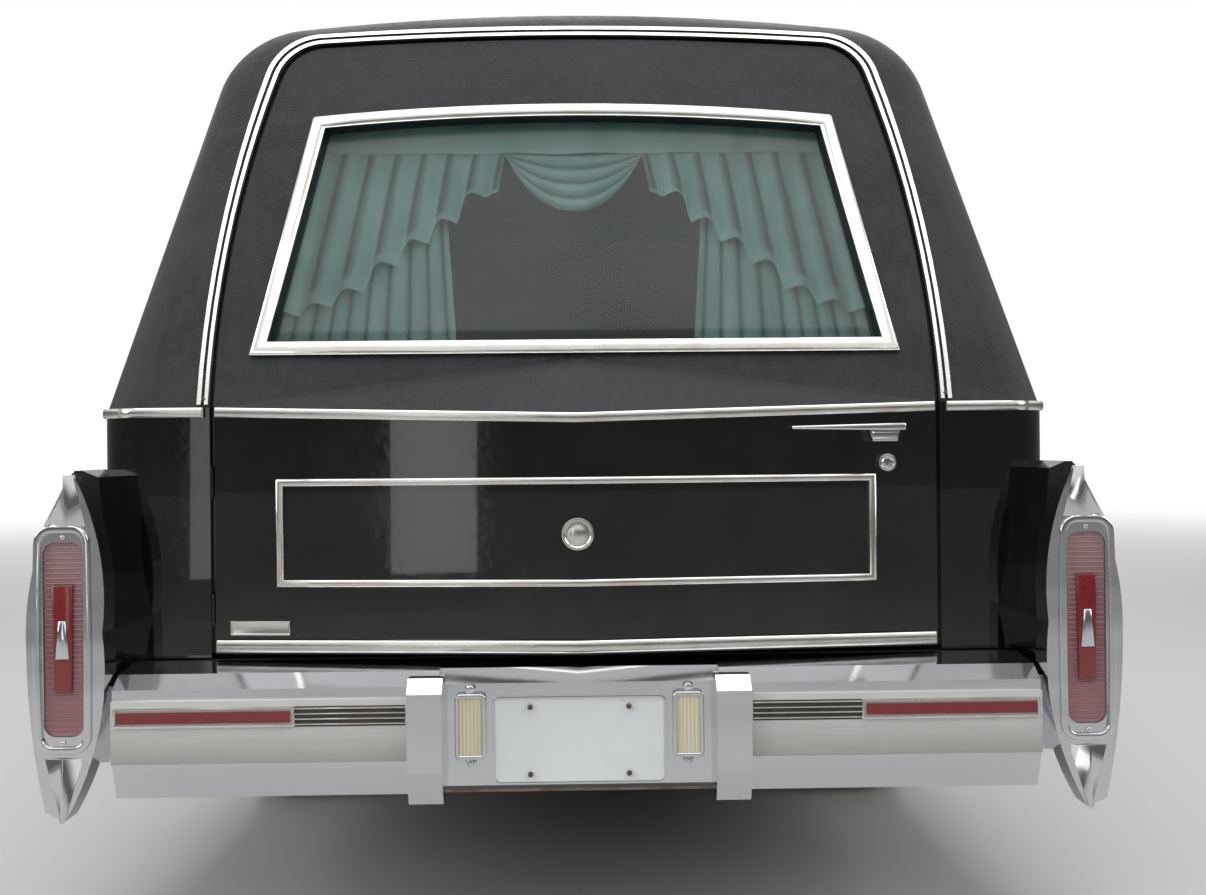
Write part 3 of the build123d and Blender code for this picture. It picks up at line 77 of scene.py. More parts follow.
def pick(piece, test, kind="FACE"):
    """In edit mode, select only what passes test(middle, direction)"""
    if piece.mode != "EDIT":
        hold(piece)
        bpy.ops.object.mode_set(mode="EDIT")
    bpy.ops.mesh.select_mode(type=kind)
    bpy.ops.mesh.select_all(action="DESELECT")
    mesh = bmesh.from_edit_mesh(piece.data)
    mesh.normal_update()
    for item in mesh.faces if kind == "FACE" else mesh.edges:
        if kind == "FACE":
            middle, way = item.calc_center_median(), item.normal
        else:
            start, end = [corner.co for corner in item.verts]
            middle, way = (start + end) / 2, (end - start).normalized()
        item.select_set(bool(test(middle, way)))
    mesh.select_flush_mode()
    bmesh.update_edit_mesh(piece.data)


print("helpers for selecting are ready")

# %% [markdown]
# ## Shader maths as plain sums
# A finish is a graph of nodes. Written as sums, it stays short enough to read: one class
# wraps a socket, and each operator adds a Math node. Everything else comes from one
# method that takes a node's kind, its settings and the values of its sockets. A colour is
# three numbers, and its fourth, which is always 1, is added where it meets its socket.

# %% Sums of sockets


class Signal:
    """A socket that carries a number over the surface"""

    def __init__(self, graph, socket):
        self.graph = graph
        self.socket = socket

    def sum_with(self, operation, first, second=0.0):
        return self.graph.number("Math", {"operation": operation}, {0: first, 1: second})

    def __add__(self, other):
        return self.sum_with("ADD", self, other)

    __radd__ = __add__

    def __sub__(self, other):
        return self.sum_with("SUBTRACT", self, other)

    def __rsub__(self, other):
        return self.sum_with("SUBTRACT", other, self)

    def __mul__(self, other):
        return self.sum_with("MULTIPLY", self, other)

    __rmul__ = __mul__

    def __truediv__(self, other):
        return self.sum_with("DIVIDE", self, other)

    def above(self, level):
        return self.sum_with("GREATER_THAN", self, level)

    def larger(self, other):
        return self.sum_with("MAXIMUM", self, other)

    def size(self):
        return self.sum_with("ABSOLUTE", self)

    def wave(self):
        return self.sum_with("SINE", self)


class Graph:
    """The nodes of a material or a world"""

    def __init__(self, owner, space):
        owner.use_nodes = True
        self.tree = owner.node_tree
        self.tree.nodes.clear()
        self.place = self.node("TexCoord").outputs[space]

    def join(self, socket, value):
        if isinstance(value, Signal):
            value = value.socket
        if isinstance(value, bpy.types.NodeSocket):
            self.tree.links.new(value, socket)
        else:
            socket.default_value = (*value, 1.0) if socket.type == "RGBA" else value

    def node(self, kind, settings=None, values=None):
        """A node: first its settings, then its sockets"""
        made = self.tree.nodes.new("ShaderNode" + kind)
        for setting, value in (settings or {}).items():
            setattr(made, setting, value)
        for socket, value in (values or {}).items():
            self.join(made.inputs[socket], value)
        return made

    def number(self, kind, settings, values, output=0):
        return Signal(self, self.node(kind, settings, values).outputs[output])

    def stretched(self, x, y, z):
        """Coordinates, scaled apart"""
        return self.node("Mapping", {}, {"Vector": self.place, "Scale": (x, y, z)}).outputs[0]

    def axis(self, name):
        return self.number("SeparateXYZ", {}, {"Vector": self.place}, name)

    def clouds(self, scale, detail=4.0, rough=0.5, over=None):
        """Soft noise from 0 to 1"""
        return self.number("TexNoise", {}, {
            "Vector": over or self.place, "Scale": scale, "Detail": detail, "Roughness": rough,
        })

    def cells(self, scale):
        """Distance to the nearest cell's middle"""
        return self.number("TexVoronoi", {}, {"Vector": self.place, "Scale": scale})

    def between(self, signal, low, high, to_low=0.0, to_high=1.0, curve="LINEAR"):
        """Stretch a range of a signal to another range"""
        return self.number("MapRange", {"interpolation_type": curve}, {
            "Value": signal, "From Min": low, "From Max": high,
            "To Min": to_low, "To Max": to_high,
        })

    def colours(self, mask, dark, light):
        """A colour that goes from dark to light with the mask"""
        return self.node("Mix", {"data_type": "RGBA"}, {0: mask, 6: dark, 7: light}).outputs[2]


class Finish(Graph):
    """A material with one main shader"""

    def __init__(self, name, **values):
        self.material = bpy.data.materials.new(name)
        super().__init__(self.material, "Object")
        self.shader = self.node("BsdfPrincipled")
        self.node("OutputMaterial", {}, {0: self.shader.outputs[0]})
        self.set(**values)

    def set(self, **values):
        """Set the main shader's sockets, with _ for each space"""
        for socket, value in values.items():
            self.join(self.shader.inputs[socket.replace("_", " ")], value)

    def look(self, mask, dark, light, rough):
        """A colour from dark to light with the mask, and the roughness"""
        self.set(Base_Color=self.colours(mask, dark, light), Roughness=rough)

    def relief(self, height, distance, strength=1.0):
        """Bump of a height from 0 to 1, in metres"""
        self.set(Normal=self.node("Bump", {}, {
            "Strength": strength, "Distance": distance, "Height": height,
        }).outputs[0])


print("shader sums are ready")

# %% [markdown]
# ## Padded vinyl
# The roof is foam under black vinyl. It has a fine leather grain, broad soft wrinkles
# where the foam gives, and grey chalky bloom on the parts that weather most. A picture
# wrapped over it would stretch at the corners, so noise of three sizes makes them. The
# bloom is a matter of colour, and the rest is surface relief.

# %% Padded vinyl
vinyl = Finish("padded_vinyl", IOR=1.45, Specular_IOR_Level=0.32)


def vinyl_looks(finish):
    """Colour, roughness and height of padded vinyl"""
    bloom = finish.clouds(3.2, 6.0, 0.62, finish.stretched(1.0, 1.0, 1.8))
    streaks = finish.clouds(16.0, 5.0, 0.7, finish.stretched(3.0, 3.0, 0.5))
    wear = finish.between(bloom * 0.6 + streaks * 0.4, 0.42, 0.68)
    colour = finish.colours(wear, (0.0040, 0.0045, 0.006), (0.030, 0.032, 0.037))
    rough = finish.between(wear, 0.0, 1.0, 0.30, 0.60)
    grain = finish.cells(420.0)
    wrinkles = finish.clouds(11.0, 5.0, 0.6)
    soft = finish.clouds(2.6, 2.0, 0.4)
    return colour, rough, soft * 0.72 + wrinkles * 0.24 + grain * 0.07


vinyl_depth = 0.022
vinyl_colour, vinyl_rough, vinyl_height = vinyl_looks(vinyl)
vinyl.set(Base_Color=vinyl_colour, Roughness=vinyl_rough)
vinyl.relief(vinyl_height, vinyl_depth, 0.55)
print("padded vinyl has", len(vinyl.tree.nodes), "nodes")

# %% [markdown]
# ## Gloss paint
# Black cellulose under a clear coat is nearly a mirror, so what shows is its reflections.
# Polishing leaves a faint orange peel and a film of dust that thickens towards the ground.
# Reflections painted on would stay put when the coach turns, so the coat mirrors instead.

# %% Gloss paint
coat_rough = 0.02
paint = Finish(
    "gloss_paint", IOR=1.45, Specular_IOR_Level=0.15, Coat_Weight=1.0, Coat_Roughness=coat_rough,
)


def paint_looks(finish):
    """Colour, roughness and height of gloss paint"""
    dust = finish.clouds(7.0, 7.0, 0.65)
    low = finish.between(finish.axis("Z"), 0.25, 0.75, 1.0, 0.0)
    film = finish.between(dust, 0.45, 0.8) * (0.25 + low * 0.75)
    colour = finish.colours(film, (0.0035, 0.0035, 0.0045), (0.030, 0.028, 0.025))
    rough = 0.06 + film * 0.30
    peel = finish.clouds(55.0, 1.0, 0.3)
    return colour, rough, peel


paint_colour, paint_rough, paint_height = paint_looks(paint)
paint.set(Base_Color=paint_colour, Roughness=paint_rough)
paint.relief(paint_height, 0.0006, 0.25)
print("gloss paint has", len(paint.tree.nodes), "nodes")

# %% [markdown]
# ## One door, two finishes
# The rear door is one pressing, with vinyl above the bright belt moulding and paint below.
# Two materials would need a cut through its mesh, so one material holds both, and a mask
# that follows the moulding's dip to the middle chooses between them.

# %% Rear door finish
door_finish = Finish(
    "rear_door_vinyl_and_paint", IOR=1.45, Specular_IOR_Level=0.3, Coat_Roughness=coat_rough,
)
belt_height = 1.011
belt_dip = 0.017
door_half = 0.684
from_middle = door_finish.axis("X").size() / door_half
above_belt = (door_finish.axis("Z") - belt_height + belt_dip * (1 - from_middle)).above(0.0)
upper_colour, upper_rough, upper_height = vinyl_looks(door_finish)
lower_colour, lower_rough, lower_height = paint_looks(door_finish)
door_finish.set(
    Base_Color=door_finish.colours(above_belt, lower_colour, upper_colour),
    Roughness=lower_rough + above_belt * (upper_rough - lower_rough),
    Coat_Weight=1 - above_belt,
)
door_height = lower_height * 0.012 * (1 - above_belt) + upper_height * above_belt
door_finish.relief(door_height, vinyl_depth, 0.5)
print("rear door finish has", len(door_finish.tree.nodes), "nodes")

# %% [markdown]
# ## Bright metals
# Stainless mouldings are brushed along their length and slightly warm. Chrome plate is
# colder and sharper, with a haze of fine pits. Both are metals, so their colour is the
# colour of their reflections, and what varies is the roughness.

# %% Bright metals
trim = Finish("stainless_trim", Metallic=1.0)
brushed = trim.clouds(90.0, 3.0, 0.5, trim.stretched(0.3, 0.3, 6.0))
tarnish = trim.between(trim.clouds(14.0, 4.0), 0.45, 0.75)
trim.look(tarnish, (0.66, 0.65, 0.62), (0.57, 0.54, 0.48), 0.12 + brushed * 0.16)
trim.relief(brushed, 0.0004, 0.3)

chrome = Finish("bumper_chrome", Metallic=1.0)
haze = chrome.clouds(6.0, 6.0, 0.6)
pits = chrome.between(chrome.cells(260.0), 0.0, 0.10, 1.0, 0.0) * chrome.clouds(9.0).above(0.58)
chrome.look(pits, (0.60, 0.61, 0.63), (0.30, 0.24, 0.18), 0.05 + haze * 0.10 + pits * 0.3)
dents = chrome.clouds(2.4, 2.0, 0.4, chrome.stretched(1.0, 1.0, 2.5))
chrome.relief(dents + (1 - pits) * 0.02, 0.012, 0.35)

cover_metal = Finish("wheel_cover_metal", Metallic=1.0)
swirl = cover_metal.clouds(40.0, 4.0)
brake_dust = cover_metal.between(cover_metal.clouds(5.0, 5.0), 0.4, 0.8)
cover_rough = 0.10 + swirl * 0.14 + brake_dust * 0.12
cover_metal.look(brake_dust * 0.5, (0.78, 0.78, 0.80), (0.35, 0.32, 0.29), cover_rough)
print("three bright metals are ready")

# %% [markdown]
# ## Grey impact strips
# The strips let into both bumpers are moulded pale grey plastic. It is chalky rather than
# shiny, lightly scuffed along its length, and much darker towards the bottom.

# %% Grey impact strips
strip = Finish("impact_strip", IOR=1.46)
scuffs = strip.clouds(34.0, 5.0, 0.6, strip.stretched(0.25, 1.0, 2.5))
toward_bottom = strip.between(strip.axis("Z"), 0.37, 0.46, 1.0, 0.0)
scuffs_and_low_dark = strip.between(scuffs * 0.3 + toward_bottom * 0.7, 0.1, 0.9)
strip.look(scuffs_and_low_dark, (0.60, 0.60, 0.59), (0.27, 0.265, 0.25), 0.34 + scuffs * 0.18)
strip.relief(scuffs, 0.0004, 0.3)
print("impact strip is ready")

# %% [markdown]
# ## Lamp lenses and glass
# Window glass is clear with a faint green body and hardly any dust. Lamp lenses are thick
# acrylic. They could let light through, but nothing lies behind them here, so their colour
# is on the surface. Ribs that aren't modelled are a wave along the height.

# %% Lamp lenses and glass
glass = Finish("window_glass", IOR=1.5, Coat_Weight=1.0, Coat_Roughness=0.01)
smear = glass.clouds(5.0, 6.0, 0.6)
glass_rough = glass.between(smear, 0.5, 0.9, 0.02, 0.06)
glass.look(smear, (0.020, 0.034, 0.031), (0.036, 0.052, 0.048), glass_rough)
glass.set(Alpha=glass.between(smear, 0.3, 0.8, 0.17, 0.24))

lens = Finish("tail_lens", IOR=1.49, Coat_Weight=0.6, Coat_Roughness=0.04)
lens_middle = 0.60
pale_ends = lens.between((lens.axis("Z") - lens_middle).size(), 0.02, 0.17)
ribbing = lens.between((lens.axis("Z") * 700).wave(), -1.0, 1.0)
lens_rough = 0.16 + lens.clouds(30.0, 3.0) * 0.12
lens.look(pale_ends * 0.55 + ribbing * 0.25, (0.25, 0.085, 0.095), (0.40, 0.25, 0.26), lens_rough)
lens.relief(ribbing, 0.0016, 0.7)

pink = Finish("lens_ribs", IOR=1.49, Coat_Weight=0.5, Coat_Roughness=0.05)
fade = pink.between(pink.axis("Z"), 0.44, 0.78)
pink.look(fade, (0.36, 0.13, 0.14), (0.42, 0.29, 0.29), 0.14 + pink.clouds(60.0) * 0.14)

red = Finish("red_lens", IOR=1.49, Coat_Weight=0.8, Coat_Roughness=0.03)
prisms = red.between(red.cells(300.0), 0.0, 0.6)
red.look(prisms, (0.26, 0.003, 0.008), (0.16, 0.002, 0.005), 0.14 + prisms * 0.12)
red.relief(prisms, 0.0008, 0.35)

clear_lens = Finish("clear_lens", IOR=1.49, Coat_Weight=0.7, Coat_Roughness=0.04)
flutes = clear_lens.between((clear_lens.axis("X") * 900).wave(), -1.0, 1.0)
mottle = flutes * 0.5 + clear_lens.clouds(12.0) * 0.5
clear_lens.look(mottle, (0.60, 0.55, 0.33), (0.80, 0.77, 0.60), 0.12 + flutes * 0.10)
clear_lens.relief(flutes, 0.0012, 0.6)
print("lenses and glass are ready")

# %% [markdown]
# ## Cloth, rubber and trim
# Velvet is brightest where its pile leans away, which is sheen, and its crush marks are
# broad clouds. Rubber is matt and dusty, and cabin trim is grained plastic. The curtains
# also carry painted shade, as an attribute, because the lamps are too soft to darken folds
# that are only some millimetres deep: it turns the velvet's colour dark in the hollows of
# the folds and where the swags shade the panels behind them.

# %% Cloth, rubber and trim
velvet = Finish(
    "teal_velvet", Roughness=0.9, Sheen_Weight=0.8, Sheen_Roughness=0.4,
    Specular_IOR_Level=0.15, Sheen_Tint=(0.50, 0.75, 0.70),
)
crush = velvet.clouds(7.0, 5.0, 0.6, velvet.stretched(2.0, 2.0, 0.6))
pile = velvet.between(crush * 0.8 + velvet.clouds(900.0, 2.0) * 0.2, 0.3, 0.7)
# Painted shade: the fold attribute darkens the velvet to a near-black teal in its folds
painted_fold_shade = velvet.number("Attribute", {"attribute_name": "fold"}, {}, "Fac")
nap = velvet.colours(pile, (0.120, 0.290, 0.265), (0.300, 0.520, 0.480))
velvet.set(Base_Color=velvet.colours(painted_fold_shade, nap, (0.006, 0.018, 0.017)))
velvet.relief(crush, 0.0012, 0.5)

seat_cloth = Finish("seat_cloth", Sheen_Weight=0.4, Specular_IOR_Level=0.2)
warp = (seat_cloth.axis("X") * 2600).wave() * (seat_cloth.axis("Y") * 2600).wave()
thread = seat_cloth.between(warp, -1.0, 1.0, 0.2, 0.5) + seat_cloth.clouds(5.0, 4.0) * 0.4
seat_cloth.look(thread, (0.030, 0.080, 0.078), (0.080, 0.160, 0.150), 0.85)
seat_cloth.relief(seat_cloth.between(warp, -1.0, 1.0), 0.0006, 0.5)

rubber = Finish("tyre_rubber", Specular_IOR_Level=0.3)
grime = rubber.clouds(12.0, 6.0, 0.6)
grime_mask = rubber.between(grime, 0.4, 0.75)
rubber.look(grime_mask, (0.012, 0.012, 0.013), (0.055, 0.050, 0.044), 0.65 + grime * 0.25)
rubber.relief(rubber.clouds(160.0, 3.0), 0.0006, 0.4)

white_band = Finish("white_band")
scuffed = white_band.clouds(20.0, 5.0)
scuff_mask = white_band.between(scuffed, 0.45, 0.75)
white_band.look(scuff_mask, (0.74, 0.73, 0.69), (0.42, 0.40, 0.36), 0.5 + scuffed * 0.2)

cabin_trim = Finish("cabin_trim")
hide = cabin_trim.clouds(45.0, 4.0)
shade_mask = cabin_trim.clouds(8.0)
cabin_trim.look(shade_mask, (0.018, 0.036, 0.036), (0.035, 0.060, 0.058), 0.5 + hide * 0.2)
cabin_trim.relief(hide, 0.0006, 0.3)
print("cloth, rubber and trim are ready")

# %% [markdown]
# ## Wood and working metals
# The deck is varnished board with its grain along the coach. Under it, black steel carries
# road film, cast iron stays rough, and the exhaust has gone brown with heat.

# %% Wood and working metals
wood = Finish("varnished_deck", Coat_Weight=0.7, Coat_Roughness=0.12)
rings = wood.clouds(6.0, 6.0, 0.65, wood.stretched(6.0, 0.35, 6.0))
grain_mask = wood.between(rings, 0.35, 0.65)
wood.look(grain_mask, (0.10, 0.035, 0.014), (0.27, 0.12, 0.055), 0.22 + rings * 0.2)
wood.relief(rings, 0.0008, 0.4)


def worked_metal(name, clean, dirty, metallic, rough_range, size):
    """Metal from clean to dirty, with patches of a size"""
    made = Finish(name, Metallic=metallic)
    film = made.clouds(size, 7.0, 0.65)
    rough = made.between(film, 0.3, 0.7, *rough_range)
    made.look(made.between(film, 0.38, 0.68), clean, dirty, rough)
    made.relief(made.clouds(size * 9, 4.0), 0.0008, 0.5)
    return made


underseal = worked_metal(
    "underseal", (0.012, 0.012, 0.012), (0.060, 0.052, 0.044), 0.0, (0.55, 0.9), 9.0)
black_steel = worked_metal(
    "frame_steel", (0.018, 0.018, 0.018), (0.075, 0.060, 0.048), 0.0, (0.45, 0.85), 11.0)
cast_iron = worked_metal(
    "cast_iron", (0.085, 0.085, 0.088), (0.16, 0.10, 0.065), 0.6, (0.5, 0.85), 14.0)
exhaust = worked_metal(
    "exhaust_steel", (0.30, 0.27, 0.24), (0.20, 0.10, 0.055), 0.9, (0.3, 0.7), 10.0)
mirror_silver = worked_metal(
    "mirror_silver", (0.88, 0.89, 0.90), (0.80, 0.81, 0.82), 1.0, (0.01, 0.04), 5.0)
print("wood and working metals are ready")

# %% [markdown]
# ## Finishes on the solids
# Every solid keeps its own mesh and only takes a material. The table says which solids
# have each finish, by how their names start, so that one entry serves both sides.

# %% Smooth shading


def smooth(piece, angle=35):
    """Smooth shading except across sharp edges"""
    hold(piece)
    bpy.ops.object.shade_smooth_by_angle(angle=math.radians(angle))


print("smooth shading is ready")

# %% Finishes on the solids
solid_finishes = (
    (vinyl, "roof_shell"), (door_finish, "rear_door_panel"), (wood, "casket_deck"),
    (paint, "quarters body_frame front_fenders hood nose_panel front_door_panel"),
    (paint, "rear_side_door_panel"), (underseal, "floor_pan"), (exhaust, "exhaust_and_tank"),
    (trim, "grille body_mouldings rear_door_trim"), (strip, "rub_strips"),
    (chrome, "rear_bumper front_bumper tail_bezels door_mirror"),
    (lens, "tail_lenses"), (clear_lens, "clear_lamps"), (red, "bumper_reflectors"),
    (glass, "windscreen rear_door_glass front_door_glass rear_side_door_glass"),
    (black_steel, "chassis_frame axles rim"), (cast_iron, "engine knuckle"),
    (rubber, "tyre"), (seat_cloth, "front_seat"),
    (cabin_trim, "bulkhead dashboard steering_wheel"),
    (velvet, "rear_door_drapes rear_side_door_drape"),
)
for finish, starts in solid_finishes:
    for name, node in nodes.items():
        if name.startswith(tuple(starts.split())):
            node.data.materials.clear()
            node.data.materials.append(finish.material)
            smooth(node, 30)
            print(name, "takes", finish.material.name)

# %% [markdown]
# ## Curtains in the rear window
# Behind the glass hangs a flat band of velvet. Below it a swag falls in steps to each
# side, a small swag hangs in the middle, and gathered panels stand behind. Each is a
# strip of cloth whose folds are a wave: the cloth swings in and out of the window plane
# while it moves back and forth along it, so that one fold tucks under the next. A cloth
# simulation could let them fall, but sewn folds are set by hand, so code sets these.

# %% A grid laid as cloth


def place_in_mesh(piece):
    """Put the object's place, turn and scale into its mesh"""
    hold(piece)
    bpy.ops.object.transform_apply(location=True, rotation=True, scale=True)


def named(name):
    """Give the new primitive its name, and put its place in its mesh"""
    piece = bpy.context.object
    piece.name = name
    piece.data.name = name
    place_in_mesh(piece)
    return piece


def cloth(name, columns, rows, point, shade=None):
    """A grid laid by point(across, down), each from 0 to 1, with painted shade in its folds"""
    let_go()
    bpy.ops.mesh.primitive_grid_add(x_subdivisions=columns, y_subdivisions=rows, size=1)
    piece = named(name)
    # The fold attribute holds painted shade for the velvet, from shade(across, down)
    folds = piece.data.attributes.new("fold", "FLOAT", "POINT")
    for vertex, fold in zip(piece.data.vertices, folds.data):
        across, down = vertex.co.x + 0.5, 0.5 - vertex.co.y
        vertex.co = point(across, down)
        fold.value = shade(across, down) if shade else 0.0
    piece.data.update()
    return piece


print("cloth can be laid")

# %% Modifiers, finishes and bodies


def use(piece, kind, **settings):
    """Add a modifier with its settings and apply it"""
    hold(piece)
    modifier = piece.modifiers.new(kind.lower(), kind)
    for setting, value in settings.items():
        setattr(modifier, setting, value)
    bpy.ops.object.modifier_apply(modifier=modifier.name)


def fit(piece, body, finish, slot):
    """Give a piece its finish and let it ride on its body"""
    place_in_mesh(piece)
    piece.data.materials.clear()
    piece.data.materials.append(finish.material)
    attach(piece, body)
    triangles = sum(len(face.vertices) - 2 for face in piece.data.polygons)
    print("made", piece.name, "with", triangles, "triangles")
    return piece


print("pieces can be finished")

# %% The plane of the rear curtains
tail_y = -2.925
belt_level = 1.020
rear_slope = math.radians(22)
window_slope = math.tan(rear_slope)
window_lean = math.cos(rear_slope)
full_turn = 2 * math.pi
curtain_half, curtain_low, curtain_taper = 0.600, 1.132, 0.165
cloth_thickness = 0.0012


def behind_window(x, z, depth):
    """A point some depth in from the body's sloping rear face"""
    return Vector((x, tail_y + (z - belt_level) * window_slope + depth / window_lean, z))


def window_edge(z):
    """Half width of the curtains at a height"""
    return curtain_half - (z - curtain_low) * curtain_taper


def mix(a, b, t):
    return a + (b - a) * t


def fold_wave(u, pleats, drift, drift_waves):
    """The angle of the pleats' wave, whose pitch drifts a little along the cloth"""
    return full_turn * pleats * (u + drift * math.sin(drift_waves * u))


def tucked(u, wave, pleats, amount):
    """Where u moves to, from 0 to 1, when each fold tucks under the next"""
    return min(1.0, max(0.0, u + amount * math.sin(wave) / (full_turn * pleats)))


def hang(piece, body, flat):
    """Thicken a curtain, finish it and print its area and cut"""
    cloth_area = round(sum(face.area for face in piece.data.polygons), 3)
    use(piece, "SOLIDIFY", thickness=cloth_thickness, offset=0)
    smooth(piece, 60)
    fit(piece, body, velvet, "velvet")
    print(piece.name, "has", cloth_area, "square metres of cloth, cut", flat)


band_top = 1.632
band_low = 1.556
print("curtain plane at the band:", [round(v, 3) for v in behind_window(0, band_low, 0.06)])

# %% The flat band
band_depth = 0.0625
rear_band = cloth("rear_curtain_band", 120, 10, lambda u, v: behind_window(
    mix(-1, 1, u) * window_edge(mix(band_top, band_low, v)),
    mix(band_top, band_low, v) + 0.0015 * math.sin(u * 37) * v,
    band_depth + 0.0016 * math.sin(u * 61 + 2 * math.sin(u * 9)) * v,
))
hang(rear_band, "rear_door", (1.08, 0.082))

# %% A mirror image
weld_distance = 0.00001


def opposite(piece, name):
    """A copy for the other side of the coach, with its faces turned out again"""
    hold(piece)
    bpy.ops.object.duplicate()
    bpy.ops.transform.resize(value=(-1, 1, 1), center_override=(0, 0, 0))
    twin = named(name)
    bpy.ops.object.mode_set(mode="EDIT")
    bpy.ops.mesh.select_all(action="SELECT")
    bpy.ops.mesh.remove_doubles(threshold=weld_distance)
    bpy.ops.mesh.normals_make_consistent(inside=False)
    let_go()
    return twin


print("pieces can be mirrored")

# %% The stepped swags
swag_inner = 0.142
swag_hems = (1.214, 1.232, 1.262, 1.318, 1.366, 1.410, 1.468)
swag_pleats = len(swag_hems)
swag_depth, swag_fold = 0.0675, 0.0080
lift_from = 0.45


def swag_point(u, v):
    """From the window's edge, u = 0, to the inner end, u = 1, and from top to hem"""
    pleat = min(swag_pleats - 1, int(u * swag_pleats))
    part = u * swag_pleats - pleat
    following = swag_hems[min(pleat + 1, swag_pleats - 1)]
    lift = 0.5 - 0.5 * math.cos(math.pi * max(0.0, (part - lift_from) / (1 - lift_from)))
    hem = mix(swag_hems[pleat], following, lift) - 0.008 * math.sin(math.pi * part)
    z = mix(band_low + 0.006, hem, v)
    wave = full_turn * (part + 0.08 * math.sin(full_turn * part))
    opening = min(1.0, 0.35 + v)
    spread = tucked(u, wave, swag_pleats, 0.75 * opening)
    x = mix(window_edge(z) - 0.004, swag_inner + 0.015 * v, spread)
    return behind_window(x, z, swag_depth - swag_fold * math.cos(wave) * opening)


def swag_shade(u, v):
    """Painted shade, dark where a pleat tucks behind the next and lighter along the hem"""
    part = (u * swag_pleats) % 1.0
    tuck = math.exp(-((part - 0.90) / 0.10) ** 2) + 0.6 * math.exp(-(part / 0.05) ** 2)
    return min(0.9, 0.12 + 0.80 * tuck) * (1.0 if v < 0.93 else 0.45)


rear_swag = cloth("rear_swag_right", 210, 30, swag_point, swag_shade)
for swag in (rear_swag, opposite(rear_swag, "rear_swag_left")):
    hang(swag, "rear_door", (0.54, 0.34))

# %% The small middle swag
middle_half = 0.150
middle_depth, middle_fold = 0.0690, 0.0048


def middle_sag(u):
    """How far the cloth sags, from 0 at its caught corners to 1 in the middle"""
    return (1 - abs(2 * u - 1) ** 2.2) ** 0.9


def middle_folds(u, v):
    return math.sin(full_turn * (v * 4.0 - 0.35 * middle_sag(u)))


def middle_swag_point(u, v):
    """A cloth caught at both upper corners, with folds that sag between them"""
    sag = middle_sag(u)
    z = band_low + 0.004 - v * (0.020 + 0.112 * sag)
    x = (2 * u - 1) * middle_half * (1 - 0.10 * v)
    return behind_window(x, z, middle_depth - middle_fold * middle_folds(u, v) * sag)


def middle_swag_shade(u, v):
    # Painted shade, darkest in the hollows of the folds
    return 0.15 + 0.55 * (0.5 - 0.5 * middle_folds(u, v)) ** 3


rear_swag_middle = cloth("rear_swag_middle", 60, 60, middle_swag_point, middle_swag_shade)
hang(rear_swag_middle, "rear_door", (0.31, 0.17))

# %% The gathered panels
panel_pleats = 9
panel_depth, panel_fold = 0.0800, 0.0038
panel_top, panel_foot = 1.552, 1.140


def panel_wave(u):
    return fold_wave(u, panel_pleats, 0.015, 9)


def panel_point(u, v):
    """From the inner edge, u = 0, to the window's edge, and from top to bottom"""
    z = mix(panel_top, panel_foot, v)
    inner = mix(0.275, 0.236, v)
    x = mix(inner, window_edge(z) - 0.006, tucked(u, panel_wave(u), panel_pleats, 0.5))
    return behind_window(x, z, panel_depth - panel_fold * math.cos(panel_wave(u)))


def panel_shade(u, v):
    """The panels lie in the swags' shadow, darkest in their folds"""
    shadow = 0.30 + 0.35 * max(0.0, 1 - v / 0.55)
    return min(0.95, shadow + 0.55 * (0.5 - 0.5 * math.cos(panel_wave(u))) ** 2)


rear_panel = cloth("rear_curtain_right", 180, 24, panel_point, panel_shade)
for panel in (rear_panel, opposite(rear_panel, "rear_curtain_left")):
    hang(panel, "rear_door", (0.38, 0.44))
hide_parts("rear_door_drapes")

# %% [markdown]
# ## Curtains in the rear side doors
# Each rear side door has one gathered curtain over its whole window. It leans in with the
# body side, so its top is found from the solid's own box, and the folds run up and down.
# One is laid on the right side and mirrored, so that both doors match.

# %% Side curtains
side_pleats = 22
drape_low, drape_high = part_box("rear_side_door_drape_right")
drape_edge = 0.012
side_lean = 0.2178
side_gap, side_fold = 0.0062, 0.0028
print("side curtain:", [round(v, 3) for v in drape_high - drape_low])


def side_wave(u):
    return fold_wave(u, side_pleats, 0.008, 11)


def side_point(u, v):
    """From the front edge, u = 0, to the rear edge, and from top to bottom"""
    z = mix(drape_high.z - drape_edge, drape_low.z + drape_edge, v)
    spread = tucked(u, side_wave(u), side_pleats, 0.45)
    y = mix(drape_high.y - drape_edge, drape_low.y + drape_edge, spread)
    inwards = (z - drape_low.z) * side_lean + side_gap + side_fold * math.cos(side_wave(u))
    return Vector((drape_high.x - inwards, y, z))


def side_shade(u, v):
    # Painted shade, darkest in the hollows of the folds
    return 0.10 + 0.70 * (0.5 - 0.5 * math.cos(side_wave(u))) ** 2


side_curtain_right = cloth("side_curtain_right", 308, 14, side_point, side_shade)
side_curtain_left = opposite(side_curtain_right, "side_curtain_left")
for side_curtain, side in ((side_curtain_right, "right"), (side_curtain_left, "left")):
    hang(side_curtain, "rear_side_door_" + side, (0.90, 0.38))
    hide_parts("rear_side_door_drape_" + side)

# %% [markdown]
# ## The rear door's fittings
# The handle is a slim bright bar just under the belt moulding. It swings on a small latch
# case with a lock below it. In the middle of the framed panel sits a plain round boss, and
# low on the left a bare badge plate. Each is a block or a drum whose rear face is inset
# and pushed, and it stands on the panel where a ray finds it. The rings could be cut with
# other solids, but insets keep their faces even, and the bevel then rounds every edge.

# %% Finding a panel's surface
surfaces = {}


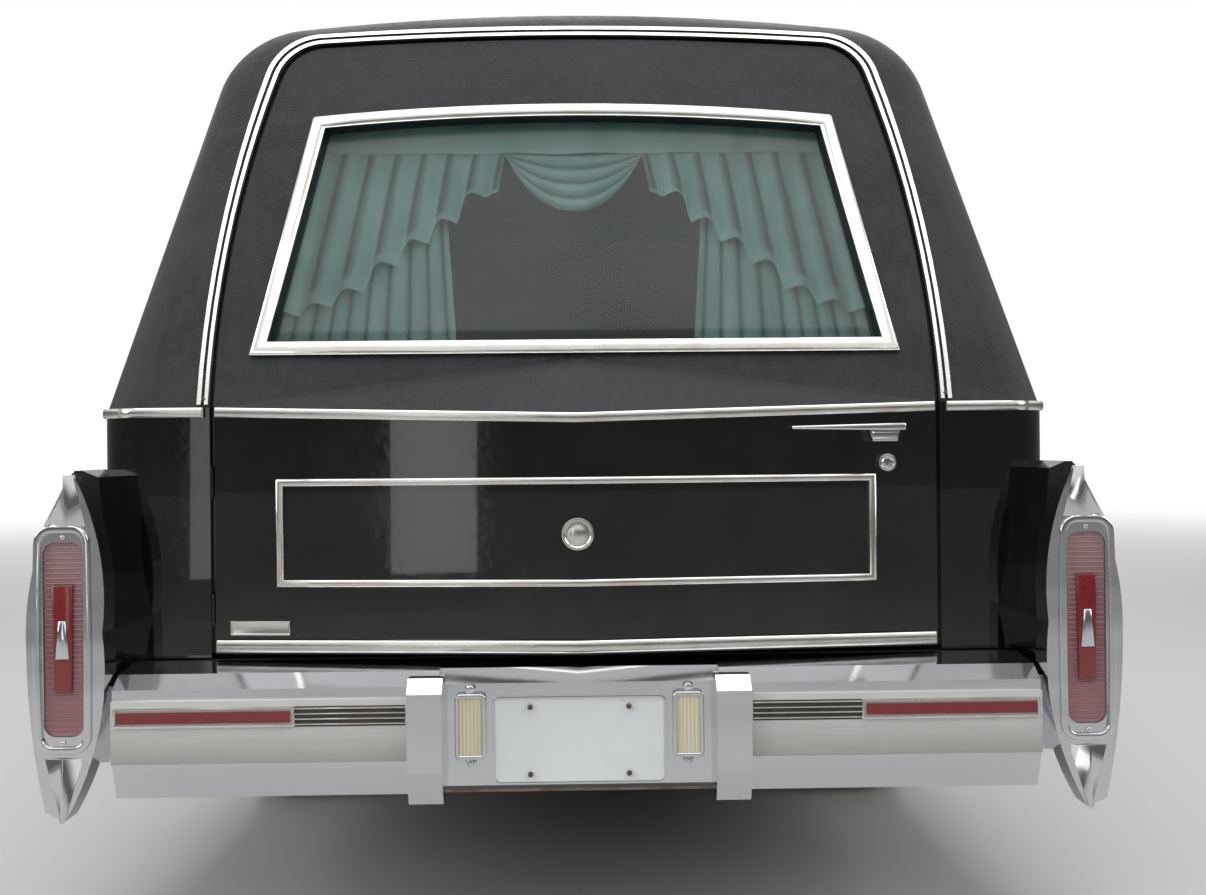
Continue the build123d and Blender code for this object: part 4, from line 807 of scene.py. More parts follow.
def surface_at(node, start, direction):
    """Where a ray from start first meets a solid"""
    if node not in surfaces:
        mesh = nodes[node].data
        surfaces[node] = BVHTree.FromPolygons(
            [v.co.copy() for v in mesh.vertices], [tuple(f.vertices) for f in mesh.polygons]
        )
    place = surfaces[node].ray_cast(Vector(start), Vector(direction))[0]
    if place is None:
        raise ValueError(f"nothing of {node} lies in that direction")
    return place


def rear_y(node, x, z):
    """Y of a solid's outer rear face"""
    return surface_at(node, (x, -4, z), (0, 1, 0)).y


print("rear door face at its handle:", round(rear_y("rear_door_panel", 0.5, 0.96), 3))

# %% Blocks and drums


def block(name, low, high, at=(0, 0, 0)):
    """A cube between two corners, which are given from a point, as a start"""
    let_go()
    middle = [origin + (a + b) / 2 for a, b, origin in zip(low, high, at)]
    size = [b - a for a, b in zip(low, high)]
    bpy.ops.mesh.primitive_cube_add(size=1, location=middle, scale=size)
    return named(name)


def drum(name, middle, radius, depth, axis="Y", sides=32):
    """A cylinder along X, Y or Z, as a start"""
    let_go()
    turn = {"X": (0, math.pi / 2, 0), "Y": (math.pi / 2, 0, 0), "Z": (0, 0, 0)}[axis]
    bpy.ops.mesh.primitive_cylinder_add(
        vertices=sides, radius=radius, depth=depth, location=middle, rotation=turn
    )
    return named(name)


print("blocks and drums are ready")

# %% Working one side of a piece
square_on = 0.9


def facing(side):
    """A test that passes faces looking to one side, such as -Y"""
    axis = "XYZ".index(side[-1])
    sign = -1 if side.startswith("-") else 1
    return lambda at, way: way[axis] * sign > square_on


def inset(piece, side, *steps):
    """Inset the faces on one side, once for each (thickness, depth)"""
    pick(piece, facing(side))
    for thickness, depth in steps:
        bpy.ops.mesh.inset(thickness=thickness, depth=depth)


def taper(piece, side, scale, shift=None):
    """Scale the faces on one side about their middle, and move them"""
    pick(piece, facing(side))
    bpy.ops.transform.resize(value=scale)
    if shift:
        bpy.ops.transform.translate(value=shift)


def soften(piece, width, steps=2, angle=40):
    """Round off the sharp edges"""
    use(
        piece, "BEVEL", width=width, segments=steps, limit_method="ANGLE",
        angle_limit=math.radians(angle),
    )
    smooth(piece)


print("sides can be worked")

# %% Handle, latch and lock
handle_z = 0.972
face_y = rear_y("rear_door_panel", 0.52, handle_z)
on_face = (0, face_y, 0)
handle_middle = (0.509, face_y - 0.027, handle_z)
handle = block("rear_handle", (-0.107, -0.007, -0.007), (0.107, 0.007, 0.007), handle_middle)
taper(handle, "-X", (1, 0.5, 0.45))
inset(handle, "-Y", (0.003, 0.0012))
soften(handle, 0.0022, 3)
latch = block("rear_latch", (0.548, -0.030, 0.945), (0.606, 0.012, 0.968), on_face)
inset(latch, "-Y", (0.005, 0))
bpy.ops.mesh.extrude_region_move(TRANSFORM_OT_translate={"value": (0, -0.003, 0)})
bpy.ops.transform.resize(value=(0.9, 1, 0.7))
taper(latch, "-Z", (0.8, 1, 1))
soften(latch, 0.002, 3)
lock = drum("rear_lock", (0.586, face_y - 0.002, 0.905), 0.0165, 0.012)
inset(lock, "-Y", (0.004, 0), (0.0015, -0.002), (0.002, 0.0022))
soften(lock, 0.0008)
keyway = block("rear_keyway", (0.5852, -0.0092, 0.899), (0.5868, -0.006, 0.911), on_face)
soften(keyway, 0.0004, 1)
for fitting in (handle, latch, lock):
    fit(fitting, "rear_door", chrome, "bright_trim")
fit(keyway, "rear_door", underseal, "underbody")

# %% A turned piece


def turned(piece, angle, axis, centre):
    """Turn a piece about a point, and put the turn in its mesh"""
    hold(piece)
    piece.data.transform(
        Matrix.Translation(centre) @ Matrix.Rotation(angle, 4, axis)
        @ Matrix.Translation(-Vector(centre))
    )


print("pieces can be turned")

# %% Round boss and bare plate
boss_z = 0.779
boss_y = rear_y("rear_door_panel", 0.004, boss_z)
boss = drum("rear_boss", (0, boss_y - 0.004, boss_z), 0.030, 0.012, sides=64)
inset(boss, "-Y", (0.005, 0), (0.002, -0.003), (0.010, 0.0025), (0.006, 0.0015))
soften(boss, 0.0012)
badge_left, badge_right, badge_z = -0.655, -0.540, 0.604
left_y, badge_y, right_y = [
    rear_y("rear_door_panel", x, badge_z) for x in (badge_left, -0.60, badge_right)
]
at = (0, badge_y, badge_z)
badge = block("bare_badge_plate", (badge_left, -0.004, -0.013), (badge_right, 0.004, 0.014), at)
inset(badge, "-Y", (0.0025, 0), (0.001, -0.0012))
slope = math.atan((right_y - left_y) / (badge_right - badge_left))
turned(badge, slope, "Z", (-0.60, badge_y, badge_z))
soften(badge, 0.0008)
for fitting in (boss, badge):
    fit(fitting, "rear_door", trim, "bright_trim")

# %% [markdown]
# ## Rounded mouldings on the rear door
# The real mouldings are rolled stainless strips, so each catches a bright line along its
# crown. A curve with a bevel could follow the path, but its section would twist at the
# corners. So one helper lays a grid along it: the path's points stand on the solid
# moulding, the strip is mitred where the path turns, and its ends are closed.

# %% Closing a mesh


def close_up(piece):
    """Merge doubles, close holes and turn every face outwards"""
    pick(piece, lambda at, way: True)
    bpy.ops.mesh.remove_doubles(threshold=weld_distance)
    bpy.ops.mesh.fill_holes(sides=0)
    bpy.ops.mesh.normals_make_consistent(inside=False)
    let_go()


print("meshes can be closed")

# %% A rounded strip along a path
rearward, outward = Vector((0, -1, 0)), Vector((1, 0, 0))
flat_back = 0.12
least_mitre = 0.3


def moulding(name, path, width, proud, out, closed=False, sides=12):
    """A rounded bright strip along a path; out is the way its crown faces, or one per point"""
    count = len(path)
    outs = out if isinstance(out, list) else [out] * count
    legs = [(after - before).normalized() for before, after in zip(path, path[1:] + path[:1])]
    sideways = []
    for number in range(count):
        after = legs[number] if closed or number < count - 1 else legs[number - 1]
        before = legs[number - 1] if closed or number else after
        square = after.cross(outs[number]).normalized()
        mitre = (before + after).normalized().cross(outs[number]).normalized()
        sideways.append(mitre / max(least_mitre, mitre.dot(square)))
    spans = count if closed else count - 1

    def point(across, down):
        place = round(across * spans) % count
        angle = full_turn * down
        lift = max(-flat_back, math.sin(angle)) * proud
        across_strip = sideways[place] * (math.cos(angle) * width / 2)
        return path[place] + across_strip + outs[place] * lift

    made = cloth(name, spans, sides, point)
    close_up(made)
    smooth(made, 40)
    return made


def on_door(x, z):
    """A point on the rear door's solid mouldings"""
    return Vector((x, rear_y("rear_door_trim", x, z), z))

# %% Window, belt, panel and sill mouldings
stations = [n / 8 for n in range(-8, 9)]
window_out = Vector((0, -window_lean, window_slope * window_lean))
window_low, window_high, window_rise = 1.134, 1.611, 0.027
window_low_half, window_high_half = 0.6083, 0.5248
stand = -0.008
window_path = [behind_window(x, window_low, stand) for x in (-window_low_half, window_low_half)]
for turn in [n / 6 for n in range(6, -7, -1)]:
    height = window_high + window_rise * (1 - turn * turn)
    window_path.append(behind_window(turn * window_high_half, height, stand))
belt_half, sill_half, sill_height = 0.679, 0.678, 0.5715
belt_path = [on_door(belt_half * n, belt_height - belt_dip * (1 - abs(n))) for n in stations]
panel_low, panel_high, panel_half = 0.6885, 0.8775, 0.5585
panel_path = [on_door(panel_half * n, panel_low) for n in stations]
panel_path += [on_door(-panel_half * n, panel_high) for n in stations]
sill_path = [on_door(sill_half * n, sill_height) for n in stations]
for name, path, width, proud, out, closed in (
    ("window", window_path, 0.0250, 0.0045, window_out, True),
    ("belt", belt_path, 0.0175, 0.0030, rearward, False),
    ("panel", panel_path, 0.0130, 0.0028, rearward, True),
    ("sill", sill_path, 0.0220, 0.0035, rearward, False),
):
    made = moulding(f"rear_{name}_moulding", path, width, proud, out, closed)
    fit(made, "rear_door", trim, "bright_trim")

# %% Pieces in pairs


def fit_pair(piece, body, finish, slot):
    """Fit a piece of the right side, and its mirror image on the left"""
    twin = opposite(piece, piece.name.replace("_right", "_left"))
    fit(piece, body, finish, slot)
    fit(twin, body.replace("_right", "_left"), finish, slot)


print("pairs can be fitted")

# %% Belt mouldings round the rear corners
corner_x, corner_y = 0.800, -2.800
far_out, lift_off = 1.5, 0.0003
corner_steps = 12


def belt_spot(x, y, way):
    """The outermost solid at the belt, going from x and y in a level direction"""
    centre = Vector((x, y, belt_height))
    reach = 0.0
    for node in ("quarters", "body_mouldings"):
        try:
            spot = surface_at(node, centre + way * far_out, -way)
            reach = max(reach, (spot - centre).dot(way))
        except ValueError:
            continue
    return centre + way * (reach + lift_off)


corner_path = [belt_spot(x, corner_y, rearward) for x in (0.704, 0.740, 0.775)]
corner_out = [rearward] * 3
for step in range(corner_steps + 1):
    angle = math.radians(mix(10, 80, step / corner_steps))
    way = rearward * math.cos(angle) + outward * math.sin(angle)
    corner_path.append(belt_spot(corner_x, corner_y, way))
    corner_out.append(way)
for y in (-2.770, -2.40, -1.90, -1.40, -0.95, -0.668):
    corner_path.append(belt_spot(corner_x, y, outward))
    corner_out.append(outward)
corner_strip = moulding("corner_belt_moulding_right", corner_path, 0.0180, 0.0030, corner_out)
print("corner moulding reaches x", round(max(p.x for p in corner_path), 4))
fit_pair(corner_strip, "body", trim, "bright_trim")

# %% Screws at the foot of the drip mouldings


def small_screw(name, middle, radius=0.0042, depth=0.005, sides=16, dome=0.001):
    """A screw head that faces the rear"""
    made = drum(name, middle, radius, depth, sides=sides)
    inset(made, "-Y", (0.001, dome))
    soften(made, 0.0004, 1)
    return made


drip_screw = small_screw("drip_moulding_screw_right", behind_window(0.7035, 1.036, -0.004))
fit_pair(drip_screw, "body", cast_iron, "cast_metal")

# %% [markdown]
# ## Tail lamps
# Behind each tall chrome surround the lens is ribbed from side to side, with a red bar up
# its middle and a small plain boss on that. Surface relief would look flat at a slant, so
# one rib is modelled and an array repeats it. Faceted blocks above and below the lens
# stand for the surround's peak and foot.

# %% Copies and rows


def again(piece, name, shift=(0, 0, 0)):
    """A copy with its own mesh, moved"""
    hold(piece)
    bpy.ops.object.duplicate()
    bpy.ops.transform.translate(value=shift)
    return named(name)


def repeat(piece, count, shift):
    """Copy a piece's mesh in a row"""
    use(
        piece, "ARRAY", count=count, use_relative_offset=False, use_constant_offset=True,
        constant_offset_displace=shift,
    )


print("copies and rows are ready")

# %% Tail lamps
on_lens = (0, -3.094, 0)
lamp_face = -3.100
rib = block("tail_lamp_ribs_right", (0.8735, -0.0022, 0.4445), (0.9385, 0.001, 0.4485), on_lens)
taper(rib, "-Y", (1, 1, 0.35))
repeat(rib, 37, (0, 0, 0.0090))
smooth(rib)
red_bar = block(
    "tail_lamp_red_bar_right", (0.889, -0.0058, 0.515), (0.925, -0.001, 0.705), on_lens)
taper(red_bar, "-Z", (0.84, 1, 1))
inset(red_bar, "-Y", (0.003, 0.001))
soften(red_bar, 0.0015, 3)
lamp_boss = block("tail_lamp_boss_right", (0.895, -0.0095, 0.575), (0.919, -0.004, 0.642), on_lens)
taper(lamp_boss, "Z", (0.50, 1, 1))
inset(lamp_boss, "-Y", (0.003, 0.0012))
soften(lamp_boss, 0.0009)
lamp_screw = small_screw("tail_lamp_screw_right", (0.905, lamp_face - 0.001, 0.789), depth=0.004)
low_screw = again(lamp_screw, "tail_lamp_low_screw_right", (0.002, 0, -0.362))


def lamp_facets(name, low, high, end, end_width, end_shift):
    """A block drawn to a point at one end and to a ridge at the rear"""
    made = block(name, low, high, (0, lamp_face, 0))
    taper(made, end, (end_width, 1, 1), (end_shift, 0, 0))
    taper(made, "-Y", (0.05, 1, 1))
    soften(made, 0.0008, 2, 12)
    return made


lamp_peak = lamp_facets(
    "tail_lamp_peak_right", (0.862, -0.0085, 0.808), (0.940, 0.001, 0.898), "Z", 0.12, -0.013)
lamp_foot = lamp_facets(
    "tail_lamp_foot_right", (0.872, -0.0075, 0.286), (0.944, 0.001, 0.400), "-Z", 0.10, 0.004)
for piece, finish, slot in (
    (lamp_peak, chrome, "bumper_chrome"), (lamp_foot, chrome, "bumper_chrome"),
    (rib, pink, "tail_lens"), (red_bar, red, "tail_lens"), (lamp_boss, chrome, "bright_trim"),
    (lamp_screw, trim, "bright_trim"), (low_screw, trim, "bright_trim"),
):
    fit_pair(piece, "body", finish, slot)

# %% [markdown]
# ## Rear bumper details
# A fine bright frame runs round each red reflector, and four thin ridges carry its line on
# to the guard. In the recess a blank plate with four screws sits between two clear lamps.
# A frame could be four strips with mitres. A block that is opened from face to face has no
# joints to match, so it is used for every frame.

# %% Opening a block


def open_up(piece, wall):
    """Open a block from its rear face to its front face, with a wall round the hole"""
    pick(piece, lambda at, way: abs(way.y) > square_on)
    bpy.ops.mesh.inset(thickness=wall)
    bpy.ops.mesh.bridge_edge_loops()


print("blocks can be opened")

# %% Reflector frames and ridges
on_strip = (0, -3.095, 0)
reflector_frame = block(
    "reflector_frame_right", (0.503, -0.0035, 0.450), (0.822, 0.002, 0.486), on_strip)
open_up(reflector_frame, 0.004)
soften(reflector_frame, 0.0009)
ridge = block("bumper_ridges_right", (0.309, -0.003, 0.4520), (0.506, 0.001, 0.4565), on_strip)
taper(ridge, "-Y", (1, 1, 0.55))
repeat(ridge, 4, (0, 0, 0.0093))
soften(ridge, 0.0007)
ridge_back = block(
    "bumper_ridge_back_right", (0.309, -0.0008, 0.4500), (0.504, 0.001, 0.4858), on_strip)
soften(ridge_back, 0.0002, 1)
fit_pair(ridge_back, "body", underseal, "underbody")
for piece in (reflector_frame, ridge):
    fit_pair(piece, "body", trim, "bright_trim")

# %% Round corners


def round_corners(piece, axis, radius, steps):
    """Round the edges of a block that run along one axis"""
    index = "XYZ".index(axis)
    pick(piece, lambda at, way: abs(way[index]) > square_on, "EDGE")
    bpy.ops.mesh.bevel(offset=radius, segments=steps, affect="EDGES")


print("corners can be rounded")

# %% Blank plate and its screws
plate_middle = (0, -3.0520, 0.411)
enamel = Finish("plate_enamel", IOR=1.5, Coat_Weight=0.4, Coat_Roughness=0.1)
chalk = enamel.clouds(18.0, 5.0)
enamel.look(chalk, (0.74, 0.76, 0.78), (0.66, 0.68, 0.69), 0.25 + chalk * 0.15)
plate = block("blank_plate", (-0.1525, -0.0020, -0.0760), (0.1525, -0.0002, 0.0760), plate_middle)
round_corners(plate, "Y", 0.012, 5)
inset(plate, "-Y", (0.004, 0), (0.002, -0.0009))
smooth(plate)
fit(plate, "body", enamel, "impact_strip")
plate_frame = block(
    "plate_frame", (-0.1575, -0.0032, -0.0795), (0.1575, -0.0003, 0.0805), plate_middle)
round_corners(plate_frame, "Y", 0.014, 5)
open_up(plate_frame, 0.0058)
soften(plate_frame, 0.0008)
fit(plate_frame, "body", chrome, "bumper_chrome")
screw_places = [(x, -0.0035, z) for x in (-0.0889, 0.0889) for z in (-0.0603, 0.0603)]
for count, place in enumerate(screw_places, 1):
    middle = Vector(plate_middle) + Vector(place)
    screw = small_screw(f"plate_screw_{count}", middle, radius=0.0052, sides=6, dome=0.0012)
    fit(screw, "body", cast_iron, "cast_metal")

# %% Several pieces as one


def joined(name, *pieces):
    """Several pieces as one object"""
    let_go()
    for piece in pieces:
        piece.select_set(True)
    bpy.context.view_layer.objects.active = pieces[0]
    bpy.ops.object.join()
    return named(name)


print("pieces can be joined")

# %% Reversing lamp frames
lamp_frame = block("reversing_lamp_frame", (0.168, -3.068, 0.380), (0.224, -3.0505, 0.498))
round_corners(lamp_frame, "Y", 0.009, 3)
open_up(lamp_frame, 0.0075)
soften(lamp_frame, 0.0022, 3)
tabs = []
for z in (0.372, 0.506):
    tab = drum("lamp_tab", (0.196, -3.0555, z), 0.010, 0.007, sides=24)
    inset(tab, "-Y", (0.004, 0), (0.001, 0.0022))
    soften(tab, 0.0008)
    tabs.append(tab)
lamp_frame = joined("reversing_lamp_frame_right", lamp_frame, *tabs)
fit_pair(lamp_frame, "body", chrome, "bumper_chrome")

# %% [markdown]
# ## Tyres
# Surface relief would leave a tyre's silhouette smooth, so its tread is modelled. A tyre
# starts as a drum. Bisecting it across marks the ribs, the strips between them are pushed
# in as grooves, and every third shoulder face is pushed in to make the blocks. The sides
# are inset in steps down to the rim, and the white band is one ring of those faces.

# %% Insets in steps


def terrace(way, steps):
    """Inset the picked faces and move them along a way, once for each (thickness, move)"""
    for thickness, move in steps:
        bpy.ops.mesh.inset(thickness=thickness)
        bpy.ops.transform.translate(value=[part * move for part in way])


print("terraces are ready")

# %% One tyre
tyre_r = 0.359
tyre_half = 0.1125
tyre_shoulder = 0.050
grooves = [(middle - 0.004, middle + 0.004) for middle in (-0.058, -0.020, 0.020, 0.058)]
groove_depth, block_depth = 0.008, 0.006
block_from, block_to = 0.064, 0.086
tread_faces = 96
side_from, rim_edge = 0.08, 0.195
white_from, white_to = 0.2605, 0.2770
side_steps = (
    (0.022, 0.017), (0.030, 0.008), (0.030, 0.0), (0.016, -0.001), (0.022, 0.0),
    (0.038, -0.010), (0.010, -0.014),
)


def face_number(at, middle, count):
    """Which of a wheel's equal faces a point lies on, counted round its axle"""
    turn = math.atan2(at.y - middle[1], at.z - middle[2]) / full_turn
    return round(turn * count - 0.5)


def from_axle(at, middle):
    return math.hypot(at.y - middle[1], at.z - middle[2])


def press(made, test, depth):
    """Push the faces that pass a test in along their normals"""
    pick(made, test)
    bpy.ops.mesh.extrude_region_shrink_fatten(TRANSFORM_OT_shrink_fatten={"value": -depth})


def tyre(name, middle):
    """A tyre with grooves, shoulder blocks and sides down to the rim"""
    made = drum(name, middle, tyre_r, 2 * tyre_half - tyre_shoulder, "X", tread_faces)
    for edge in sorted(edge for groove in grooves for edge in groove):
        pick(made, lambda at, way: True)
        bpy.ops.mesh.bisect(plane_co=(middle[0] + edge, *middle[1:]), plane_no=(1, 0, 0))
    press(made, lambda at, way: abs(way.x) < 0.5 and any(
        low < at.x - middle[0] < high for low, high in grooves
    ), groove_depth)
    press(made, lambda at, way: abs(way.x) < 0.5
          and block_from < abs(at.x - middle[0]) < block_to
          and face_number(at, middle, tread_faces) % 3 == 0, block_depth)
    for side in (-1, 1):
        pick(made, lambda at, way: way.x * side > square_on
             and (at.x - middle[0]) * side > side_from)
        terrace((side, 0, 0), side_steps)
        bpy.ops.mesh.delete(type="FACE")
    pick(made, lambda at, way: from_axle(at, middle) < rim_edge and abs(way.x) < 0.05, "EDGE")
    bpy.ops.mesh.bridge_edge_loops()
    bpy.ops.mesh.select_all(action="SELECT")
    bpy.ops.mesh.normals_make_consistent(inside=False)
    smooth(made, 50)
    return made


def band(made, middle, side):
    """Give the ring of faces on a tyre's outer side its white finish"""
    made.data.materials.append(white_band.material)
    for face in made.data.polygons:
        outer = (face.center.x - middle[0]) * side > side_from
        white = outer and white_from < from_axle(face.center, middle) < white_to
        face.material_index = 1 if white else 0


front_axle, rear_axle = 2.0515, -1.6315
wheel_places = {
    "front_right": (0.783, front_axle, tyre_r), "front_left": (-0.783, front_axle, tyre_r),
    "rear_right": (0.771, rear_axle, tyre_r), "rear_left": (-0.771, rear_axle, tyre_r),
}
first_place = wheel_places["rear_right"]
first_tyre = tyre("tread_rear_right", first_place)
for corner, place in wheel_places.items():
    made = first_tyre
    if corner != "rear_right":
        made = again(first_tyre, "tread_" + corner, Vector(place) - Vector(first_place))
    fit(made, "wheel_" + corner, rubber, "tyre_rubber")
    band(made, place, 1 if place[0] > 0 else -1)
    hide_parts("tyre_" + corner)

# %% [markdown]
# ## Wheel covers
# A full cover is one pressed disc: a rolled edge that grips the rim, a ring of raised
# fins, a plain field and a raised plain cap. Spinning a profile would make the rings too.
# Insets are used because they keep the faces of each ring in step, so that every other
# face of one ring can be drawn out as a fin.

# %% Wheel covers
cover_face, cover_radius, cover_depth = 0.080, 0.186, 0.012
cover_faces = 72
fin_from, fin_to, fin_height = 0.118, 0.158, 0.004
cover_steps = (
    (0.010, 0.008), (0.012, -0.007), (0.052, 0.006), (0.012, -0.006), (0.030, -0.008),
    (0.010, 0.014), (0.030, 0.006),
)
cover_middle = (first_place[0] + cover_face, *first_place[1:])
cover = drum(
    "wheel_cover_rear_right", cover_middle, cover_radius, cover_depth, "X", cover_faces)
pick(cover, facing("X"))
terrace((1, 0, 0), cover_steps)
pick(cover, lambda at, way: way.x > 0.5
     and fin_from < from_axle(at, first_place) < fin_to
     and face_number(at, first_place, cover_faces) % 2 == 0)
bpy.ops.mesh.extrude_region_move(TRANSFORM_OT_translate={"value": (fin_height, 0, 0)})
soften(cover, 0.0012, 2, 30)
covers = {"right": cover, "left": opposite(cover, "wheel_cover_rear_left")}
for corner, place in wheel_places.items():
    end, side = corner.split("_")
    made = covers[side]
    if end == "front":
        shift = Vector(place) - Vector(wheel_places["rear_" + side])
        made = again(made, "wheel_cover_" + corner, shift)
    fit(made, "wheel_" + corner, cover_metal, "wheel_cover")

# %% [markdown]
# ## Lamp rings
# A bright ring frames each tail lens. Its sides bulge a little, like a barrel, and it
# stands proud of the chrome surround. It starts as a block with rounded corners, and its
# middle is opened from face to face, which Blender calls a bridge.

# %% Lamp rings
ring_x, ring_z, ring_half = 0.906, 0.609, 0.2005
ring_bulge = 0.0045
ring = block("tail_lamp_ring_right", (0.8585, -3.1075, 0.4085), (0.9535, -3.0985, 0.8095))
round_corners(ring, "Y", 0.030, 6)
open_up(ring, 0.0125)
for height in (0.475, 0.54, ring_z, 0.68, 0.745):
    bpy.ops.mesh.select_all(action="SELECT")
    bpy.ops.mesh.bisect(plane_co=(ring_x, lamp_face, height), plane_no=(0, 0, 1))
let_go()
for point in ring.data.vertices:
    bulge = ring_bulge * (1 - ((point.co.z - ring_z) / ring_half) ** 2)
    point.co.x += bulge if point.co.x > ring_x else -bulge * 0.4
soften(ring, 0.0022, 3)
fit_pair(ring, "body", chrome, "bumper_chrome")

# %% [markdown]
# ## Front seat
# The bench is foam under cloth. Each part starts as a rounded block a little smaller than
# the space it fills. Blender's cloth blows it up from inside, which crowns the faces and
# pulls the sides in between the corners, and sewn channels are pressed in afterwards.

# %% Front seat
most_swell = 0.024
swell_frames = 15
channels, channel_half, channel_depth = 14, 0.010, 0.011


def blow_up(pad):
    """Swell a pad with pressure from inside, but no point further than most_swell"""
    before = [point.co.copy() for point in pad.data.vertices]
    stuffing = pad.modifiers.new("stuffing", "CLOTH")
    stuffing.settings.use_pressure = True
    stuffing.settings.uniform_pressure_force = 4
    stuffing.settings.effector_weights.gravity = 0
    for number in range(1, swell_frames + 1):
        bpy.context.scene.frame_set(number)
    hold(pad)
    bpy.ops.object.modifier_apply(modifier="stuffing")
    for point, start in zip(pad.data.vertices, before):
        move = point.co - start
        if move.length > most_swell:
            point.co = start + move * (most_swell / move.length)
    bpy.context.scene.frame_set(1)


def cushion(name, low, high, axis, reach):
    """A padded block with sewn channels, pressed in on its far side along an axis"""
    pad = block(name, low, high)
    soften(pad, 0.045, 4)
    use(pad, "REMESH", mode="VOXEL", voxel_size=0.012)
    blow_up(pad)
    pitch = (high[0] - low[0]) / channels
    for point in pad.data.vertices:
        phase = ((point.co.x - low[0]) / pitch) % 1.0
        groove = math.exp(-(min(phase, 1 - phase) * pitch / channel_half) ** 2)
        near_face = max(0.0, 1 - abs(high[axis] - point.co[axis]) / reach)
        point.co[axis] -= channel_depth * groove * near_face
    use(pad, "SUBSURF", levels=1, render_levels=1)
    smooth(pad, 180)
    fit(pad, "body", seat_cloth, "seat_cloth")
    return pad


seat_half = 0.665
seat_base = cushion("seat_cushion", (-seat_half, 0.470, 0.475), (seat_half, 1.005, 0.615), 2, 0.09)
cushion("seat_back_cushion", (-seat_half, 0.285, 0.640), (seat_half, 0.425, 1.065), 1, 0.07)
seat_box = block("seat_box", (-0.640, 0.300, 0.348), (0.640, 0.985, 0.452))
taper(seat_box, "-Z", (0.96, 0.92, 1))
soften(seat_box, 0.018, 3)
fit(seat_box, "body", cabin_trim, "interior_trim")
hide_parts("front_seat")

# %% [markdown]
# ## Headlining
# Cloth is stretched under the roof over hidden bows, so it lies in shallow bays with a
# stitched ridge between them. A flat sheet would cut through the roof's curve, so rays cast
# upwards find the roof, and the lining hangs below it.

# %% Headlining
headcloth = Finish("headcloth", Specular_IOR_Level=0.15, Sheen_Weight=0.3)
headcloth.look(headcloth.clouds(9.0, 5.0), (0.16, 0.23, 0.21), (0.24, 0.31, 0.29), 0.9)
headcloth.relief(headcloth.clouds(120.0, 2.0), 0.0005, 0.4)
lining_half = 0.60
lining_rear, lining_front, bay = -2.36, 0.10, 0.41
lining_gap, bay_rise, lining_thickness = 0.016, 0.009, 0.003


def lining_point(across, down):
    """A point of the lining, which hangs lowest at each bow"""
    x = mix(-lining_half, lining_half, across)
    y = mix(lining_rear, lining_front, down)
    roof = surface_at("roof_shell", (x, y, 1.40), (0, 0, 1)).z
    rise = abs(math.sin(math.pi * (y - lining_rear) / bay)) ** 0.5
    return Vector((x, y, roof - lining_gap + bay_rise * rise))


lining = cloth("headlining", 24, 72, lining_point)
use(lining, "SOLIDIFY", thickness=lining_thickness, offset=0)
smooth(lining, 50)
fit(lining, "body", headcloth, "interior_trim")

# %% [markdown]
# ## Door handles and side lamps
# Each side door has a flat pull handle in a shallow bright cup, with a round lock behind
# it. A loop makes one for each right door, where a ray finds the panel, and each is
# mirrored. Moving one copy along would miss the body's changing width.

# %% A side panel's surface


def side_x(node, side, y, z):
    """X of a solid's outer side face; side is -1 or 1"""
    return surface_at(node, (side * 2, y, z), (-side, 0, 0)).x


print("front wing at its lamp:", round(side_x("front_fenders", 1, 2.760, 0.640), 3))

# %% Side handles
handle_height = 0.875
lock_behind = 0.115
for door, body, along in (
    ("front", "front_door_right", 0.420), ("rear", "rear_side_door_right", -0.555),
):
    wall = side_x(body.replace("door_right", "door_panel_right"), 1, along, handle_height)
    at = (wall, along, handle_height)
    cup = block(f"handle_cup_{door}_right", (-0.006, -0.085, -0.017), (0.003, 0.085, 0.017), at)
    round_corners(cup, "X", 0.010, 4)
    inset(cup, "X", (0.004, 0), (0.003, -0.002))
    soften(cup, 0.0008)
    pull = block(f"handle_pull_{door}_right", (0.004, -0.070, -0.009), (0.014, 0.070, 0.009), at)
    pick(pull, lambda at, way: abs(way.y) > square_on)
    bpy.ops.transform.resize(value=(1, 1, 0.7))
    inset(pull, "X", (0.004, 0.0012))
    inset(pull, "-X", (0.006, 0))
    bpy.ops.mesh.extrude_region_move(TRANSFORM_OT_translate={"value": (-0.008, 0, 0)})
    soften(pull, 0.0018, 3)
    key_middle = (wall + 0.002, along - lock_behind, handle_height)
    key = drum(f"handle_lock_{door}_right", key_middle, 0.012, 0.010, "X", 24)
    inset(key, "X", (0.003, 0), (0.001, -0.0015))
    soften(key, 0.0006)
    for piece in (cup, pull, key):
        fit_pair(piece, body, chrome, "bright_trim")

# %% Side marker lamps
marker_height = 0.640
for name, node, along, finish, slot in (
    ("rear_marker", "quarters", -2.780, red, "tail_lens"),
    ("front_marker", "front_fenders", 2.760, clear_lens, "lamp_glass"),
):
    at = (side_x(node, 1, along, marker_height), along, marker_height)
    surround = block(f"{name}_frame_right", (-0.010, -0.075, -0.019), (0.0035, 0.075, 0.019), at)
    inset(surround, "X", (0.005, 0), (0.001, -0.002))
    soften(surround, 0.0010)
    marker = block(f"{name}_lens_right", (-0.002, -0.068, -0.012), (0.0055, 0.068, 0.012), at)
    inset(marker, "X", (0.004, 0.0015))
    soften(marker, 0.0015, 3)
    fit_pair(surround, "body", trim, "bright_trim")
    fit_pair(marker, "body", finish, slot)

# %% [markdown]
# ## Sill mouldings
# A wide bright moulding runs along each sill between the wheels, with rolled edges and a
# shallow groove. The sill is straight, so it needs no path: it is a long block whose outer
# face is inset and pushed in.

